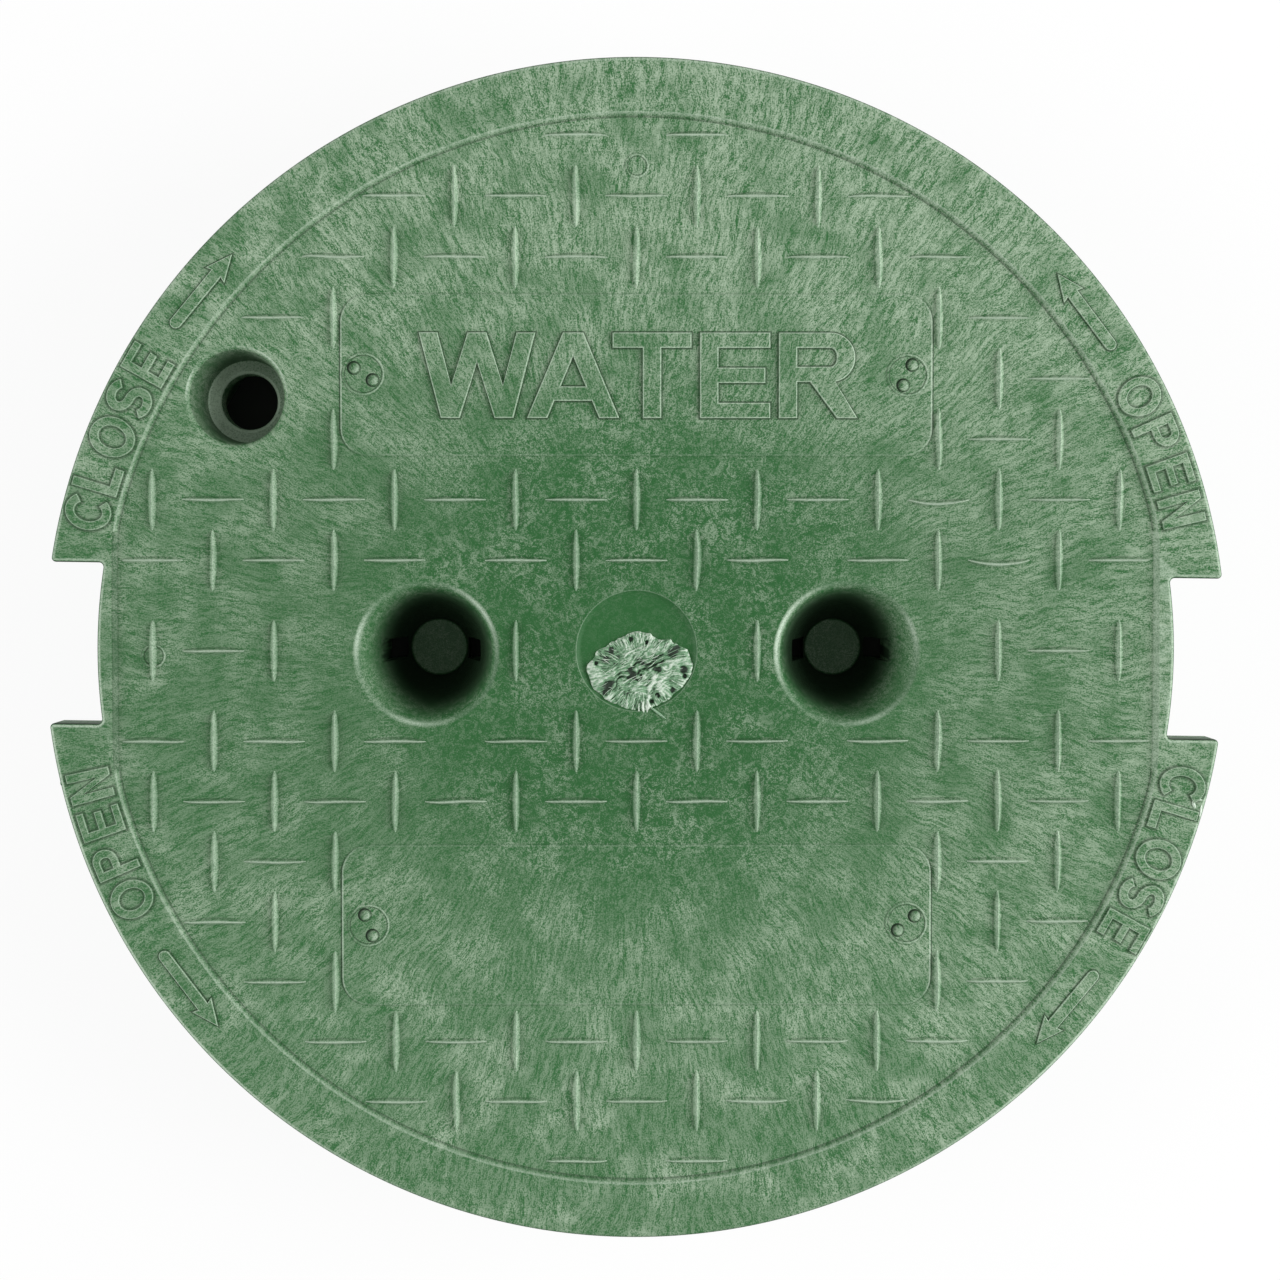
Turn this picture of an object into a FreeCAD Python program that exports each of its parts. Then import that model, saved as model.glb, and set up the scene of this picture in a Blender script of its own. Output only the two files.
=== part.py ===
import FreeCAD, Part
import math
import os
import re
import Sketcher

# Round twist-lock valve box cover, one moulding. Millimetres, +Z up, the skirt stands on Z = 0.
doc = FreeCAD.newDocument("ValveBoxCover")

# Driving sizes
SIZES = {
    "cover_height": 38.1,
    "flange_diameter": 279.4,
    "flange_thickness": 9.5,
    "flange_bevel": 0.9,
    "flange_overhang": 12.4,
    "skirt_wall": 4.5,
    "skirt_inset": 2.2,
    "plate_thickness": 8.0,
    "rim_step": 1.0,
    "rim_slope": 0.7,
    "rim_land": 1.6,
    "flat_depth": 3.2,
    "notch_width": 38.1,
    "notch_turn": 0.84,
    "notch_corner": 1.1,
    "rib_count": 8,
    "rib_thickness": 3.6,
    "rib_depth": 16.0,
    "hub_diameter": 46.0,
    "hub_wall": 3.6,
    "cup_spacing": 99.5,
    "cup_set_back": 0.7,
    "cup_mouth": 30.4,
    "cup_floor": 14.2,
    "cup_depth": 31.75,
    "cup_wall": 3.0,
    "cup_floor_thickness": 3.2,
    "cup_lip": 2.2,
    "key_slot_length": 23.6,
    "key_slot_width": 5.3,
    "bolt_inset": 15.6,
    "bolt_angle": 147.57,
    "bolt_mouth": 21.6,
    "bolt_seat": 20.0,
    "bolt_depth": 14.9,
    "bolt_hole": 13.5,
    "bolt_chamfer": 0.8,
    "bolt_wall": 3.2,
    "bolt_seat_thickness": 6.0,
    "bolt_lip": 1.4,
    "dish_diameter": 28.8,
    "dish_depth": 0.8,
    "dish_slope": 1.4,
    "gate_length": 26.0,
    "gate_width": 19.0,
    "gate_height": 1.3,
    "gate_set_back": 4.0,
    "label_length": 139.7,
    "label_width": 38.1,
    "label_offset": 65.1,
    "bar_pitch": 14.2875,
    "bar_length": 14.6,
    "bar_width": 2.3,
    "bar_end_width": 1.05,
    "bar_slope": 0.75,
    "bar_height": 1.0,
    "bar_root": 0.3,
    "rim_gap": 0.1,
    "recess_gap": 1.5,
    "label_gap": 0.3,
}

sheet = doc.addObject("Spreadsheet::Sheet", "Sizes")
for row, (name, size) in enumerate(SIZES.items(), start=1):
    sheet.set(f"A{row}", name)
    sheet.set(f"B{row}", str(size))
    sheet.setAlias(f"B{row}", name)
doc.recompute()

# Formulas shared by several features: each ring is set in from the one outside it
PLUG_RADIUS = "(flange_diameter / 2 - flange_overhang)"
FIELD_RADIUS = f"({PLUG_RADIUS} - rim_land)"
FIELD_FLAT = f"({FIELD_RADIUS} - flat_depth)"
BOLT_REACH = f"({PLUG_RADIUS} - bolt_inset)"
BOLT_ACROSS = f"{BOLT_REACH} * cos(bolt_angle)"
BOLT_ALONG = f"{BOLT_REACH} * sin(bolt_angle)"
FIELD_TOP = "(cover_height - rim_step)"
PLATE_UNDERSIDE = f"({FIELD_TOP} - plate_thickness)"
CUP_FLOOR = f"({FIELD_TOP} - cup_depth)"
BOLT_SEAT = f"({FIELD_TOP} - bolt_depth)"


def bound(text):
    """The same formula with every size read from the sheet."""
    return re.sub(r"[a-z]+_[a-z_]+", lambda word: "Sizes." + word.group(0), text)


def value(text):
    """What a formula of the sizes gives now."""
    return float(sheet.evalExpression(text))


def origin_plane(body, role):
    """One of the body's own origin planes."""
    return next(plane for plane in body.Origin.OriginFeatures if plane.Role == role)


def new_sketch(body, name, role, offset=None):
    """A sketch on one of the body's origin planes, moved by formulas for the plane's own axes."""
    sketch = body.newObject("Sketcher::SketchObject", name)
    sketch.AttachmentSupport = [(origin_plane(body, role), "")]
    sketch.MapMode = "FlatFace"
    for axis, text in (offset or {}).items():
        sketch.setExpression(f"AttachmentOffset.Base.{axis}", bound(text))
    return sketch


def hold(sketch, kind, first, second, text):
    """A dimension between two sketch points, bound to a formula of the sizes."""
    index = sketch.addConstraint(Sketcher.Constraint(kind, *first, *second, value(text)))
    sketch.setExpression(f"Constraints[{index}]", bound(text))


def outline(sketch, corners):
    """A closed straight-sided outline, each corner held at two formulas."""
    start = sketch.GeometryCount
    points = [FreeCAD.Vector(value(x), value(y), 0) for x, y in corners]
    for here, there in zip(points, points[1:] + points[:1]):
        sketch.addGeometry(Part.LineSegment(here, there), False)
    for step, (x, y) in enumerate(corners):
        line = start + step
        following = start + (step + 1) % len(corners)
        sketch.addConstraint(Sketcher.Constraint("Coincident", line, 2, following, 1))
        hold(sketch, "DistanceX", (-1, 1), (line, 1), x)
        hold(sketch, "DistanceY", (-1, 1), (line, 1), y)


def rectangle(sketch, x0, x1, y0, y1):
    """An upright rectangle between four formulas."""
    outline(sketch, [(x0, y0), (x1, y0), (x1, y1), (x0, y1)])


def turned(body, kind, name, sketch):
    """A full turn of a sketch about its own upright axis."""
    feature = body.newObject(f"PartDesign::{kind}", name)
    feature.Profile = sketch
    feature.ReferenceAxis = (sketch, ["V_Axis"])
    feature.Angle = 360
    body.Tip = feature
    return feature


def pad(body, name, sketch, height):
    """A sketch raised by a formula."""
    feature = body.newObject("PartDesign::Pad", name)
    feature.Profile = sketch
    feature.setExpression("Length", bound(height))
    body.Tip = feature
    return feature


def cut_upwards(body, name, sketch):
    """A sketch cut through everything above it."""
    feature = body.newObject("PartDesign::Pocket", name)
    feature.Profile = sketch
    feature.Type = "ThroughAll"
    feature.Reversed = True
    body.Tip = feature
    return feature


def around(body, name, originals, count):
    """Copies evenly round the cover's axis."""
    feature = body.newObject("PartDesign::PolarPattern", name)
    feature.Originals = originals
    axis = next(line for line in body.Origin.OriginFeatures if line.Role == "Z_Axis")
    feature.Axis = (axis, [""])
    feature.Angle = 360
    feature.setExpression("Occurrences", bound(count))
    body.Tip = feature
    return feature


def dress(body, kind, name, edge_names, dimension, text):
    """A fillet or chamfer on the named edges of the body so far."""
    base = body.Tip
    feature = body.newObject(f"PartDesign::{kind}", name)
    feature.Base = (base, edge_names)
    feature.setExpression(dimension, bound(text))
    body.Tip = feature
    return feature


def edges_where(body, test):
    """Names of the body's edges that pass a test."""
    doc.recompute()
    return [f"Edge{i}" for i, edge in enumerate(body.Tip.Shape.Edges, start=1) if test(edge)]


def near(a, b):
    """Equal within drawing tolerance."""
    return abs(a - b) < 1e-4


def lies_at(edge, height):
    """Whether an edge lies wholly in one level plane."""
    return near(edge.BoundBox.ZMin, height) and near(edge.BoundBox.ZMax, height)


def is_circle_of(edge, diameter):
    """Whether an edge is round with that diameter."""
    return isinstance(edge.Curve, Part.Circle) and near(2 * edge.Curve.Radius, diameter)


body = doc.addObject("PartDesign::Body", "Moulding")

# Flange ring, and the two lug notches through it
ring_section = new_sketch(body, "FlangeSection", "XZ_Plane")
rectangle(ring_section, f"{PLUG_RADIUS} - skirt_wall", "flange_diameter / 2",
          "cover_height - flange_thickness", "cover_height")
turned(body, "Revolution", "FlangeRing", ring_section)

notch_plan = new_sketch(body, "NotchPlan", "XY_Plane")
notch_plan.setExpression("AttachmentOffset.Rotation.Angle", "-Sizes.notch_turn")
rectangle(notch_plan, f"{PLUG_RADIUS} - 2 * skirt_wall", "flange_diameter / 2 + flange_thickness",
          "-notch_width / 2", "notch_width / 2")
notch = cut_upwards(body, "Notch", notch_plan)
around(body, "Notches", [notch], "2")

# Plug: top plate and drafted skirt, which fills the notches back to its own round wall
plug_section = new_sketch(body, "PlugSection", "XZ_Plane")
outline(plug_section, [
    ("0", PLATE_UNDERSIDE),
    (f"{PLUG_RADIUS} - skirt_wall", PLATE_UNDERSIDE),
    (f"{PLUG_RADIUS} - skirt_inset - skirt_wall", "0"),
    (f"{PLUG_RADIUS} - skirt_inset", "0"),
    (PLUG_RADIUS, "cover_height - flange_thickness"),
    (PLUG_RADIUS, "cover_height"),
    ("0", "cover_height"),
])
turned(body, "Revolution", "Plug", plug_section)

# Underside: hub ring and radial ribs
hub_plan = new_sketch(body, "HubSection", "XZ_Plane")
rectangle(hub_plan, "hub_diameter / 2 - hub_wall", "hub_diameter / 2",
          f"{PLATE_UNDERSIDE} - rib_depth", f"{PLATE_UNDERSIDE} + rim_step")
turned(body, "Revolution", "Hub", hub_plan)

rib_plan = new_sketch(body, "RibPlan", "XY_Plane", {"z": f"{PLATE_UNDERSIDE} - rib_depth"})
rib_plan.setExpression("AttachmentOffset.Rotation.Angle", "180 / Sizes.rib_count")
rectangle(rib_plan, "hub_diameter / 2 - hub_wall / 2", f"{PLUG_RADIUS} - skirt_wall / 2 - skirt_inset / 2",
          "-rib_thickness / 2", "rib_thickness / 2")
rib = pad(body, "Rib", rib_plan, "rib_depth + rim_step")
around(body, "Ribs", [rib], "rib_count")

# Key cups: drafted wall, hollow and the two key slots in the floor
cup_axis = {"x": "-cup_spacing / 2", "z": "cup_set_back"}
cup_section = new_sketch(body, "CupSection", "XZ_Plane", cup_axis)
outline(cup_section, [
    ("0", f"{CUP_FLOOR} - cup_floor_thickness"),
    ("cup_floor / 2 + cup_wall", f"{CUP_FLOOR} - cup_floor_thickness"),
    ("cup_mouth / 2 + cup_wall", f"{PLATE_UNDERSIDE} + rim_step"),
    ("0", f"{PLATE_UNDERSIDE} + rim_step"),
])
cup = turned(body, "Revolution", "Cup", cup_section)

hollow_section = new_sketch(body, "CupHollowSection", "XZ_Plane", cup_axis)
outline(hollow_section, [
    ("0", CUP_FLOOR),
    ("cup_floor / 2", CUP_FLOOR),
    ("cup_mouth / 2", FIELD_TOP),
    ("cup_mouth / 2", "cover_height + rim_step"),
    ("0", "cover_height + rim_step"),
])
cup_hollow = turned(body, "Groove", "CupHollow", hollow_section)

slot_plan = new_sketch(body, "KeySlotPlan", "XY_Plane", {"x": "-cup_spacing / 2", "y": "-cup_set_back"})
for side in ("", "-"):
    rectangle(slot_plan, f"{side}(cup_floor / 2 + rim_step / 2)", f"{side}key_slot_length / 2",
              "-key_slot_width / 2", "key_slot_width / 2")
key_slots = cut_upwards(body, "KeySlots", slot_plan)

both_cups = body.newObject("PartDesign::Mirrored", "BothCups")
both_cups.Originals = [cup, cup_hollow, key_slots]
both_cups.MirrorPlane = (origin_plane(body, "YZ_Plane"), [""])
body.Tip = both_cups

# Bolt recess: boss under the plate, tapered counterbore, through hole
bolt_axis = {"x": BOLT_ACROSS, "z": f"-{BOLT_ALONG}"}
boss_section = new_sketch(body, "BoltBossSection", "XZ_Plane", bolt_axis)
rectangle(boss_section, "0", "bolt_mouth / 2 + bolt_wall",
          f"{BOLT_SEAT} - bolt_seat_thickness", f"{PLATE_UNDERSIDE} + rim_step")
turned(body, "Revolution", "BoltBoss", boss_section)

recess_section = new_sketch(body, "BoltRecessSection", "XZ_Plane", bolt_axis)
outline(recess_section, [
    ("0", f"{BOLT_SEAT} - 2 * bolt_seat_thickness"),
    ("bolt_hole / 2", f"{BOLT_SEAT} - 2 * bolt_seat_thickness"),
    ("bolt_hole / 2", f"{BOLT_SEAT} - bolt_chamfer"),
    ("bolt_hole / 2 + bolt_chamfer", BOLT_SEAT),
    ("bolt_seat / 2", BOLT_SEAT),
    ("bolt_mouth / 2", FIELD_TOP),
    ("bolt_mouth / 2", "cover_height + rim_step"),
    ("0", "cover_height + rim_step"),
])
turned(body, "Groove", "BoltRecess", recess_section)

# Sunk tread field: round, with a straight side across each notch
field_plan = new_sketch(body, "FieldPlan", "XY_Plane", {"z": "cover_height"})
field_radius = value(FIELD_RADIUS)
flat_angle = math.acos(value(f"{FIELD_FLAT} / {FIELD_RADIUS}"))
whole_circle = Part.Circle(FreeCAD.Vector(), FreeCAD.Vector(0, 0, 1), field_radius)
for middle in (math.pi / 2, 3 * math.pi / 2):
    half = math.pi / 2 - flat_angle
    field_plan.addGeometry(Part.ArcOfCircle(whole_circle, middle - half, middle + half), False)
flat_reach = field_radius * math.sin(flat_angle)
for side in (1, -1):
    x = side * value(FIELD_FLAT)
    field_plan.addGeometry(
        Part.LineSegment(FreeCAD.Vector(x, -flat_reach, 0), FreeCAD.Vector(x, flat_reach, 0)), False)
upper, lower, right, left = range(4)
for arc in (upper, lower):
    field_plan.addConstraint(Sketcher.Constraint("Coincident", arc, 3, -1, 1))
    radius = field_plan.addConstraint(Sketcher.Constraint("Radius", arc, field_radius))
    field_plan.setExpression(f"Constraints[{radius}]", bound(FIELD_RADIUS))
for arc, arc_end, line, line_end in (
        (upper, 1, right, 2), (upper, 2, left, 2), (lower, 1, left, 1), (lower, 2, right, 1)):
    field_plan.addConstraint(Sketcher.Constraint("Coincident", arc, arc_end, line, line_end))
for line, side in ((right, ""), (left, "-")):
    field_plan.addConstraint(Sketcher.Constraint("Vertical", line))
    hold(field_plan, "DistanceX", (-1, 1), (line, 1), f"{side}{FIELD_FLAT}")
field = body.newObject("PartDesign::Pocket", "TreadField")
field.Profile = field_plan
field.setExpression("Length", bound("rim_step"))
body.Tip = field

# Gate dish in the middle of the field
dish_section = new_sketch(body, "DishSection", "XZ_Plane")
outline(dish_section, [
    ("0", f"{FIELD_TOP} - dish_depth"),
    ("dish_diameter / 2 - dish_slope", f"{FIELD_TOP} - dish_depth"),
    ("dish_diameter / 2", FIELD_TOP),
    ("dish_diameter / 2", "cover_height"),
    ("0", "cover_height"),
])
turned(body, "Groove", "Dish", dish_section)

# Torn gate stub: an uneven low block left standing on the dish floor
gate_place = {"y": "-gate_set_back", "z": f"{FIELD_TOP} - dish_depth"}
gate_plan = new_sketch(body, "GatePlan", "XY_Plane", gate_place)
outline(gate_plan, [
    ("-0.50 * gate_length", "-0.05 * gate_width"),
    ("-0.34 * gate_length", "-0.36 * gate_width"),
    ("-0.05 * gate_length", "-0.50 * gate_width"),
    ("0.30 * gate_length", "-0.40 * gate_width"),
    ("0.50 * gate_length", "-0.04 * gate_width"),
    ("0.43 * gate_length", "0.30 * gate_width"),
    ("0.12 * gate_length", "0.50 * gate_width"),
    ("-0.28 * gate_length", "0.41 * gate_width"),
])
pad(body, "GateStub", gate_plan, "gate_height")

# Edges: rim slope, notch corners, cup and bolt lips, outer bevel
rim_top = value("cover_height")
field_top = value(FIELD_TOP)
flange_underside = value("cover_height - flange_thickness")


def is_rim_inner(edge):
    """Upper edge of the raised rim, on the field side."""
    if not lies_at(edge, rim_top):
        return False
    if is_circle_of(edge, 2 * field_radius):
        return True
    return near(edge.BoundBox.XLength, 0) and near(abs(edge.CenterOfMass.x), value(FIELD_FLAT))


def is_notch_corner(edge):
    """Upright inner corner of a notch."""
    upright = near(edge.BoundBox.ZMax - edge.BoundBox.ZMin, value("flange_thickness"))
    reach = math.hypot(edge.CenterOfMass.x, edge.CenterOfMass.y)
    return upright and near(edge.BoundBox.ZMax, rim_top) and near(reach, value(PLUG_RADIUS))


def is_outer_edge(edge):
    """Outer edge of the flange, above or below."""
    level = lies_at(edge, rim_top) or lies_at(edge, flange_underside)
    return level and is_circle_of(edge, value("flange_diameter"))


dress(body, "Chamfer", "RimSlope", edges_where(body, is_rim_inner), "Size", "rim_slope")
dress(body, "Fillet", "NotchCorners", edges_where(body, is_notch_corner), "Radius", "notch_corner")
dress(body, "Chamfer", "CupLips",
      edges_where(body, lambda edge: lies_at(edge, field_top) and is_circle_of(edge, value("cup_mouth"))),
      "Size", "cup_lip")
dress(body, "Chamfer", "BoltLip",
      edges_where(body, lambda edge: lies_at(edge, field_top) and is_circle_of(edge, value("bolt_mouth"))),
      "Size", "bolt_lip")
dress(body, "Chamfer", "FlangeBevel", edges_where(body, is_outer_edge), "Size", "flange_bevel")

# One tread bar along X: a long six-cornered lens with sloping flanks, from its buried root to its crest
bar = doc.addObject("PartDesign::Body", "TreadBar")


def bar_outline(name, level, narrower):
    """Plan of the bar at a level, narrower than at its foot by a formula."""
    sketch = new_sketch(bar, name, "XY_Plane", {"z": level})
    middle = f"(bar_width - {narrower}) / 2"
    end = f"(bar_end_width - {narrower}) / 2"
    outline(sketch, [
        ("-bar_length / 2", f"-{end}"),
        ("0", f"-{middle}"),
        ("bar_length / 2", f"-{end}"),
        ("bar_length / 2", end),
        ("0", middle),
        ("-bar_length / 2", end),
    ])
    return sketch


bar_loft = bar.newObject("PartDesign::AdditiveLoft", "BarLoft")
bar_loft.Profile = bar_outline("BarRoot", "-bar_root", "0")
bar_loft.Sections = [bar_outline("BarCrest", "bar_height", "bar_slope")]
bar_loft.Ruled = True
bar.Tip = bar_loft

doc.recompute()


def clear_of_rim(x, y, half_x, half_y):
    """Whether a bar at x, y stays inside the field's round and straight sides."""
    far_x = abs(x) + half_x
    far_y = abs(y) + half_y
    inside_round = math.hypot(far_x, far_y) <= value(f"{FIELD_RADIUS} - rim_gap")
    return inside_round and far_x <= value(f"{FIELD_FLAT} - rim_gap")


def clear_of_round(x, y, half_x, half_y, centre, radius):
    """Whether a bar keeps its distance from a round recess."""
    away_x = max(abs(x - centre[0]) - half_x, 0)
    away_y = max(abs(y - centre[1]) - half_y, 0)
    return math.hypot(away_x, away_y) >= radius + value("recess_gap")


def clear_of_labels(x, y, half_x, half_y):
    """Whether a bar stays off the two label plates."""
    beside = abs(x) - half_x >= value("label_length / 2 + label_gap")
    beyond = abs(abs(y) - value("label_offset")) - half_y >= value("label_width / 2 + label_gap")
    return beside or beyond


recesses = [
    ((value("-cup_spacing / 2"), value("-cup_set_back")), value("cup_mouth / 2 + cup_lip")),
    ((value("cup_spacing / 2"), value("-cup_set_back")), value("cup_mouth / 2 + cup_lip")),
    ((value(BOLT_ACROSS), value(BOLT_ALONG)), value("bolt_mouth / 2 + bolt_lip")),
    ((0, 0), value("dish_diameter / 2")),
]


def bar_places():
    """Centre and turn of every bar: a basket weave with one lone row across the middle."""
    pitch = value("bar_pitch")
    long_half = value("bar_length / 2")
    short_half = value("bar_end_width / 2")
    columns = int(value(f"{FIELD_RADIUS} / bar_pitch"))
    rows = [(0, 0)]
    for step in range(1, columns + 1):
        rows += [(step + 0.5, step), (-step - 0.5, step)]
    for level, parity in rows:
        for column in range(-columns, columns + 1):
            upright = (column + parity) % 2 == 0
            half_x, half_y = (short_half, long_half) if upright else (long_half, short_half)
            place = (column * pitch, level * pitch, half_x, half_y)
            clear = clear_of_rim(*place) and clear_of_labels(*place)
            if clear and all(clear_of_round(*place, *recess) for recess in recesses):
                yield FreeCAD.Vector(place[0], place[1], field_top), 90 if upright else 0


bars = []
for place, turn in bar_places():
    link = doc.addObject("App::Link", "PlacedBar")
    link.LinkedObject = bar
    link.Placement = FreeCAD.Placement(place, FreeCAD.Rotation(FreeCAD.Vector(0, 0, 1), turn))
    bars.append(link)

cover = doc.addObject("Part::MultiFuse", "Cover")
cover.Label = "cover"
cover.Shapes = [body] + bars
cover.Refine = True
doc.recompute()

# Nothing is written from a document with a failed object
for item in doc.Objects:
    if "Invalid" in item.State or "Error" in item.State:
        raise RuntimeError(f"{item.Label} failed")
solid = cover.Shape
if solid.isNull() or not solid.isValid() or len(solid.Solids) != 1:
    raise RuntimeError("the cover is not one valid solid")

os.makedirs("parts", exist_ok=True)
solid.exportStep(f"parts/{cover.Label}.step")
print(f"{cover.Label}: {len(bars)} bars, volume {solid.Volume:.0f} mm3, box {solid.BoundBox}")
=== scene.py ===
import math
import bmesh
import bpy
import numpy as np
from mathutils import Matrix, Vector
from mathutils.geometry import delaunay_2d_cdt


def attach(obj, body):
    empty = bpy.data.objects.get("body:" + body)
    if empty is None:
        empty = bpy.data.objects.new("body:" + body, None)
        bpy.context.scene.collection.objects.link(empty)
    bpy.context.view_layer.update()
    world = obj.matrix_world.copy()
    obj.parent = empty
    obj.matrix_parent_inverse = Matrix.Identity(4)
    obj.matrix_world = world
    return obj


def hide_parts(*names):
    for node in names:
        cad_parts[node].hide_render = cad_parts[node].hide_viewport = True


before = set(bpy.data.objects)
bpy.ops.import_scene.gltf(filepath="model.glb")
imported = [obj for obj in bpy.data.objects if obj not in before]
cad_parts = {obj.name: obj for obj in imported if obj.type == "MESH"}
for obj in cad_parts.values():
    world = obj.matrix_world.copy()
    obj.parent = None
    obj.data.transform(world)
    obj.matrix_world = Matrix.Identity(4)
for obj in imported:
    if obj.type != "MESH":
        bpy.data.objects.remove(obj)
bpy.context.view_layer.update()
print("frame loaded:", sorted(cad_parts))

mm = 0.001  # sizes are in millimetres, the stage's in metres; +Z is up and the skirt stands on zero


# camera: the photograph looks straight down, a little off the middle
camera = {"stand": (-1.8, 24.8, 478.1), "aim": (0.8, 15.6, 38.1), "lens": 52.46, "sensor": 36, "shiftUp": -0.043,
          "clip": (0.01, 20)}


def setCamera(c):  # the view's upper edge lies towards +Y
    data = bpy.data.cameras.new("photoCamera")
    data.lens = c["lens"]
    data.sensor_width = c["sensor"]
    data.shift_y = c["shiftUp"]
    data.clip_start, data.clip_end = c["clip"]
    back = (Vector(c["stand"]) - Vector(c["aim"])).normalized()
    right = Vector((0, 1, 0)).cross(back).normalized()
    up = back.cross(right)
    obj = bpy.data.objects.new("photoCamera", data)
    obj.matrix_world = Matrix((right, up, back)).transposed().to_4x4()
    obj.location = Vector(c["stand"]) * mm
    bpy.context.scene.collection.objects.link(obj)
    bpy.context.scene.camera = obj


setCamera(camera)
print("camera set")


# mesh tools: a surface is (points, faces, whitening and painted light); at each point this is painted highlight above
# zero and painted shade below zero, and on the torn gate the whitening of drawn plastic
def gridFaces(rows, columns, closed):  # quads between neighbouring rows and columns of a grid
    across = columns if closed else columns - 1
    r, c = np.meshgrid(np.arange(rows - 1), np.arange(across), indexing="ij")
    here = r * columns + c
    there = r * columns + (c + 1) % columns
    return np.stack([here, there, there + columns, here + columns], axis=-1).reshape(-1, 4)


def gridSurface(points, closed, whiteningAndPaintedLight=None):  # points: rows x columns x 3, whitening and painted light: rows or rows x columns
    rows, columns = points.shape[:2]
    paintedLightAndWhitening = np.zeros((rows, columns))
    if whiteningAndPaintedLight is not None:
        paintedLightAndWhitening += np.asarray(whiteningAndPaintedLight).reshape(rows, -1)
    return points.reshape(-1, 3), gridFaces(rows, columns, closed), paintedLightAndWhitening.ravel()


def arcSteps(start, end, count):  # evenly spaced angles, the end left to the next stretch
    return np.linspace(start, end, count, endpoint=False)


def pairs(first, second):  # two lists of numbers as rows of pairs
    return np.stack([first, second], axis=1)


def rays(turn):  # unit vectors in plan at the given angles
    return pairs(np.cos(turn), np.sin(turn))


def turnMatrix(angle):  # rows of points times this are turned by the angle
    return np.array([[math.cos(angle), math.sin(angle)], [-math.sin(angle), math.cos(angle)]])


def circleLoop(x, y, radius, steps):  # centre plus radius times rays
    return np.array([x, y]) + radius * rays(arcSteps(0, 2 * np.pi, steps))


def latheSurface(profile, centre, steps, whiteningAndPaintedLight=None):  # (radius, z) pairs turned round an upright axis
    profile = np.asarray(profile, float)
    turn = arcSteps(0, 2 * np.pi, steps)
    x = centre[0] + profile[:, :1] * np.cos(turn)
    y = centre[1] + profile[:, :1] * np.sin(turn)
    z = np.broadcast_to(profile[:, 1:], x.shape)
    return gridSurface(np.stack([x, y, z], axis=-1), True, whiteningAndPaintedLight)


def outwardNormals(path):  # mitred normals of a closed path that runs counter-clockwise
    ahead = np.roll(path, -1, axis=0) - path
    ahead /= np.linalg.norm(ahead, axis=1, keepdims=True)
    side = pairs(ahead[:, 1], -ahead[:, 0])
    both = side + np.roll(side, 1, axis=0)
    return both / np.maximum((both * side).sum(axis=1, keepdims=True), 0.35)


def carriedSurface(path, normals, out, z, whiteningAndPaintedLight=None):  # profile (out, z) carried along a path: path + normal * out
    out, z = (np.asarray(a, float).reshape(len(a), -1) for a in (out, z))
    xy = path[None] + normals[None] * out[..., None]
    points = np.concatenate([xy, np.broadcast_to(z[..., None], xy.shape[:2] + (1,))], axis=2)
    return gridSurface(points, True, whiteningAndPaintedLight)


def insideLoops(points, loops):  # even-odd rule: how many outlines a ray towards +X crosses
    crossings = np.zeros(len(points), int)
    for loop in loops:
        a, b = loop, np.roll(loop, -1, axis=0)
        py = points[:, 1:2]
        spans = (a[None, :, 1] > py) != (b[None, :, 1] > py)
        rise = np.where(a[:, 1] == b[:, 1], 1e-12, b[:, 1] - a[:, 1])
        at = a[:, 0] + (py - a[:, 1]) * (b[:, 0] - a[:, 0]) / rise
        crossings += (spans & (points[:, :1] < at)).sum(axis=1)
    return crossings % 2 == 1


def filledPlan(loops, extra=None):  # plan triangles between closed outlines, extra points are worked in
    clouds = [np.asarray(loop)[:, :2] for loop in loops] + ([] if extra is None else [extra])
    edges, start = [], 0
    for loop in clouds[:len(loops)]:
        edges += [(start + i, start + (i + 1) % len(loop)) for i in range(len(loop))]
        start += len(loop)
    cloud = [Vector(p) for p in np.concatenate(clouds).tolist()]
    flat, _, faces = delaunay_2d_cdt(cloud, edges, [], 0, 1e-5)[:3]
    flat, faces = np.array(flat), np.array(faces)
    keep = insideLoops(flat[faces].mean(axis=1), clouds[:len(loops)])
    return flat, faces[keep]


def flatSurface(loops, z, facing=1):  # level face between closed outlines, facing up or down
    flat, faces = filledPlan(loops)
    points = np.column_stack([flat, np.full(len(flat), z)])
    return points, faces[:, ::facing], np.zeros(len(flat))


def joined(surfaces):  # several surfaces as one
    points, faces, whiteningAndPaintedLight, start = [], [], [], 0
    for p, f, w in surfaces:
        points.append(p)
        faces += (np.asarray(f) + start).tolist()
        whiteningAndPaintedLight.append(w)
        start += len(p)
    return np.concatenate(points), faces, np.concatenate(whiteningAndPaintedLight)


def makePiece(name, surfaces, material, sharpFrom=38):  # welds the surfaces into one object of the cover
    points, faces, whiteningAndPaintedLight = joined(surfaces)
    mesh = bpy.data.meshes.new(name)
    mesh.from_pydata((points * mm).tolist(), [], faces)
    # per-point attribute: painted highlight above zero, painted shade below zero, whitening of torn plastic on the gate
    mesh.attributes.new("whiteningAndPaintedLight", "FLOAT", "POINT").data.foreach_set("value", whiteningAndPaintedLight.astype(np.float32))
    work = bmesh.new()
    work.from_mesh(mesh)
    bmesh.ops.remove_doubles(work, verts=work.verts, dist=2e-6)
    bmesh.ops.delete(work, geom=[v for v in work.verts if not v.link_faces], context="VERTS")
    work.to_mesh(mesh)
    work.free()
    mesh.shade_smooth()
    mesh.set_sharp_from_angle(angle=math.radians(sharpFrom))
    mesh.materials.append(material)
    obj = bpy.data.objects.new(name, mesh)
    bpy.context.scene.collection.objects.link(obj)
    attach(obj, "root")
    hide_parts("cover")
    print(name, len(mesh.polygons), "faces")


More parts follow.
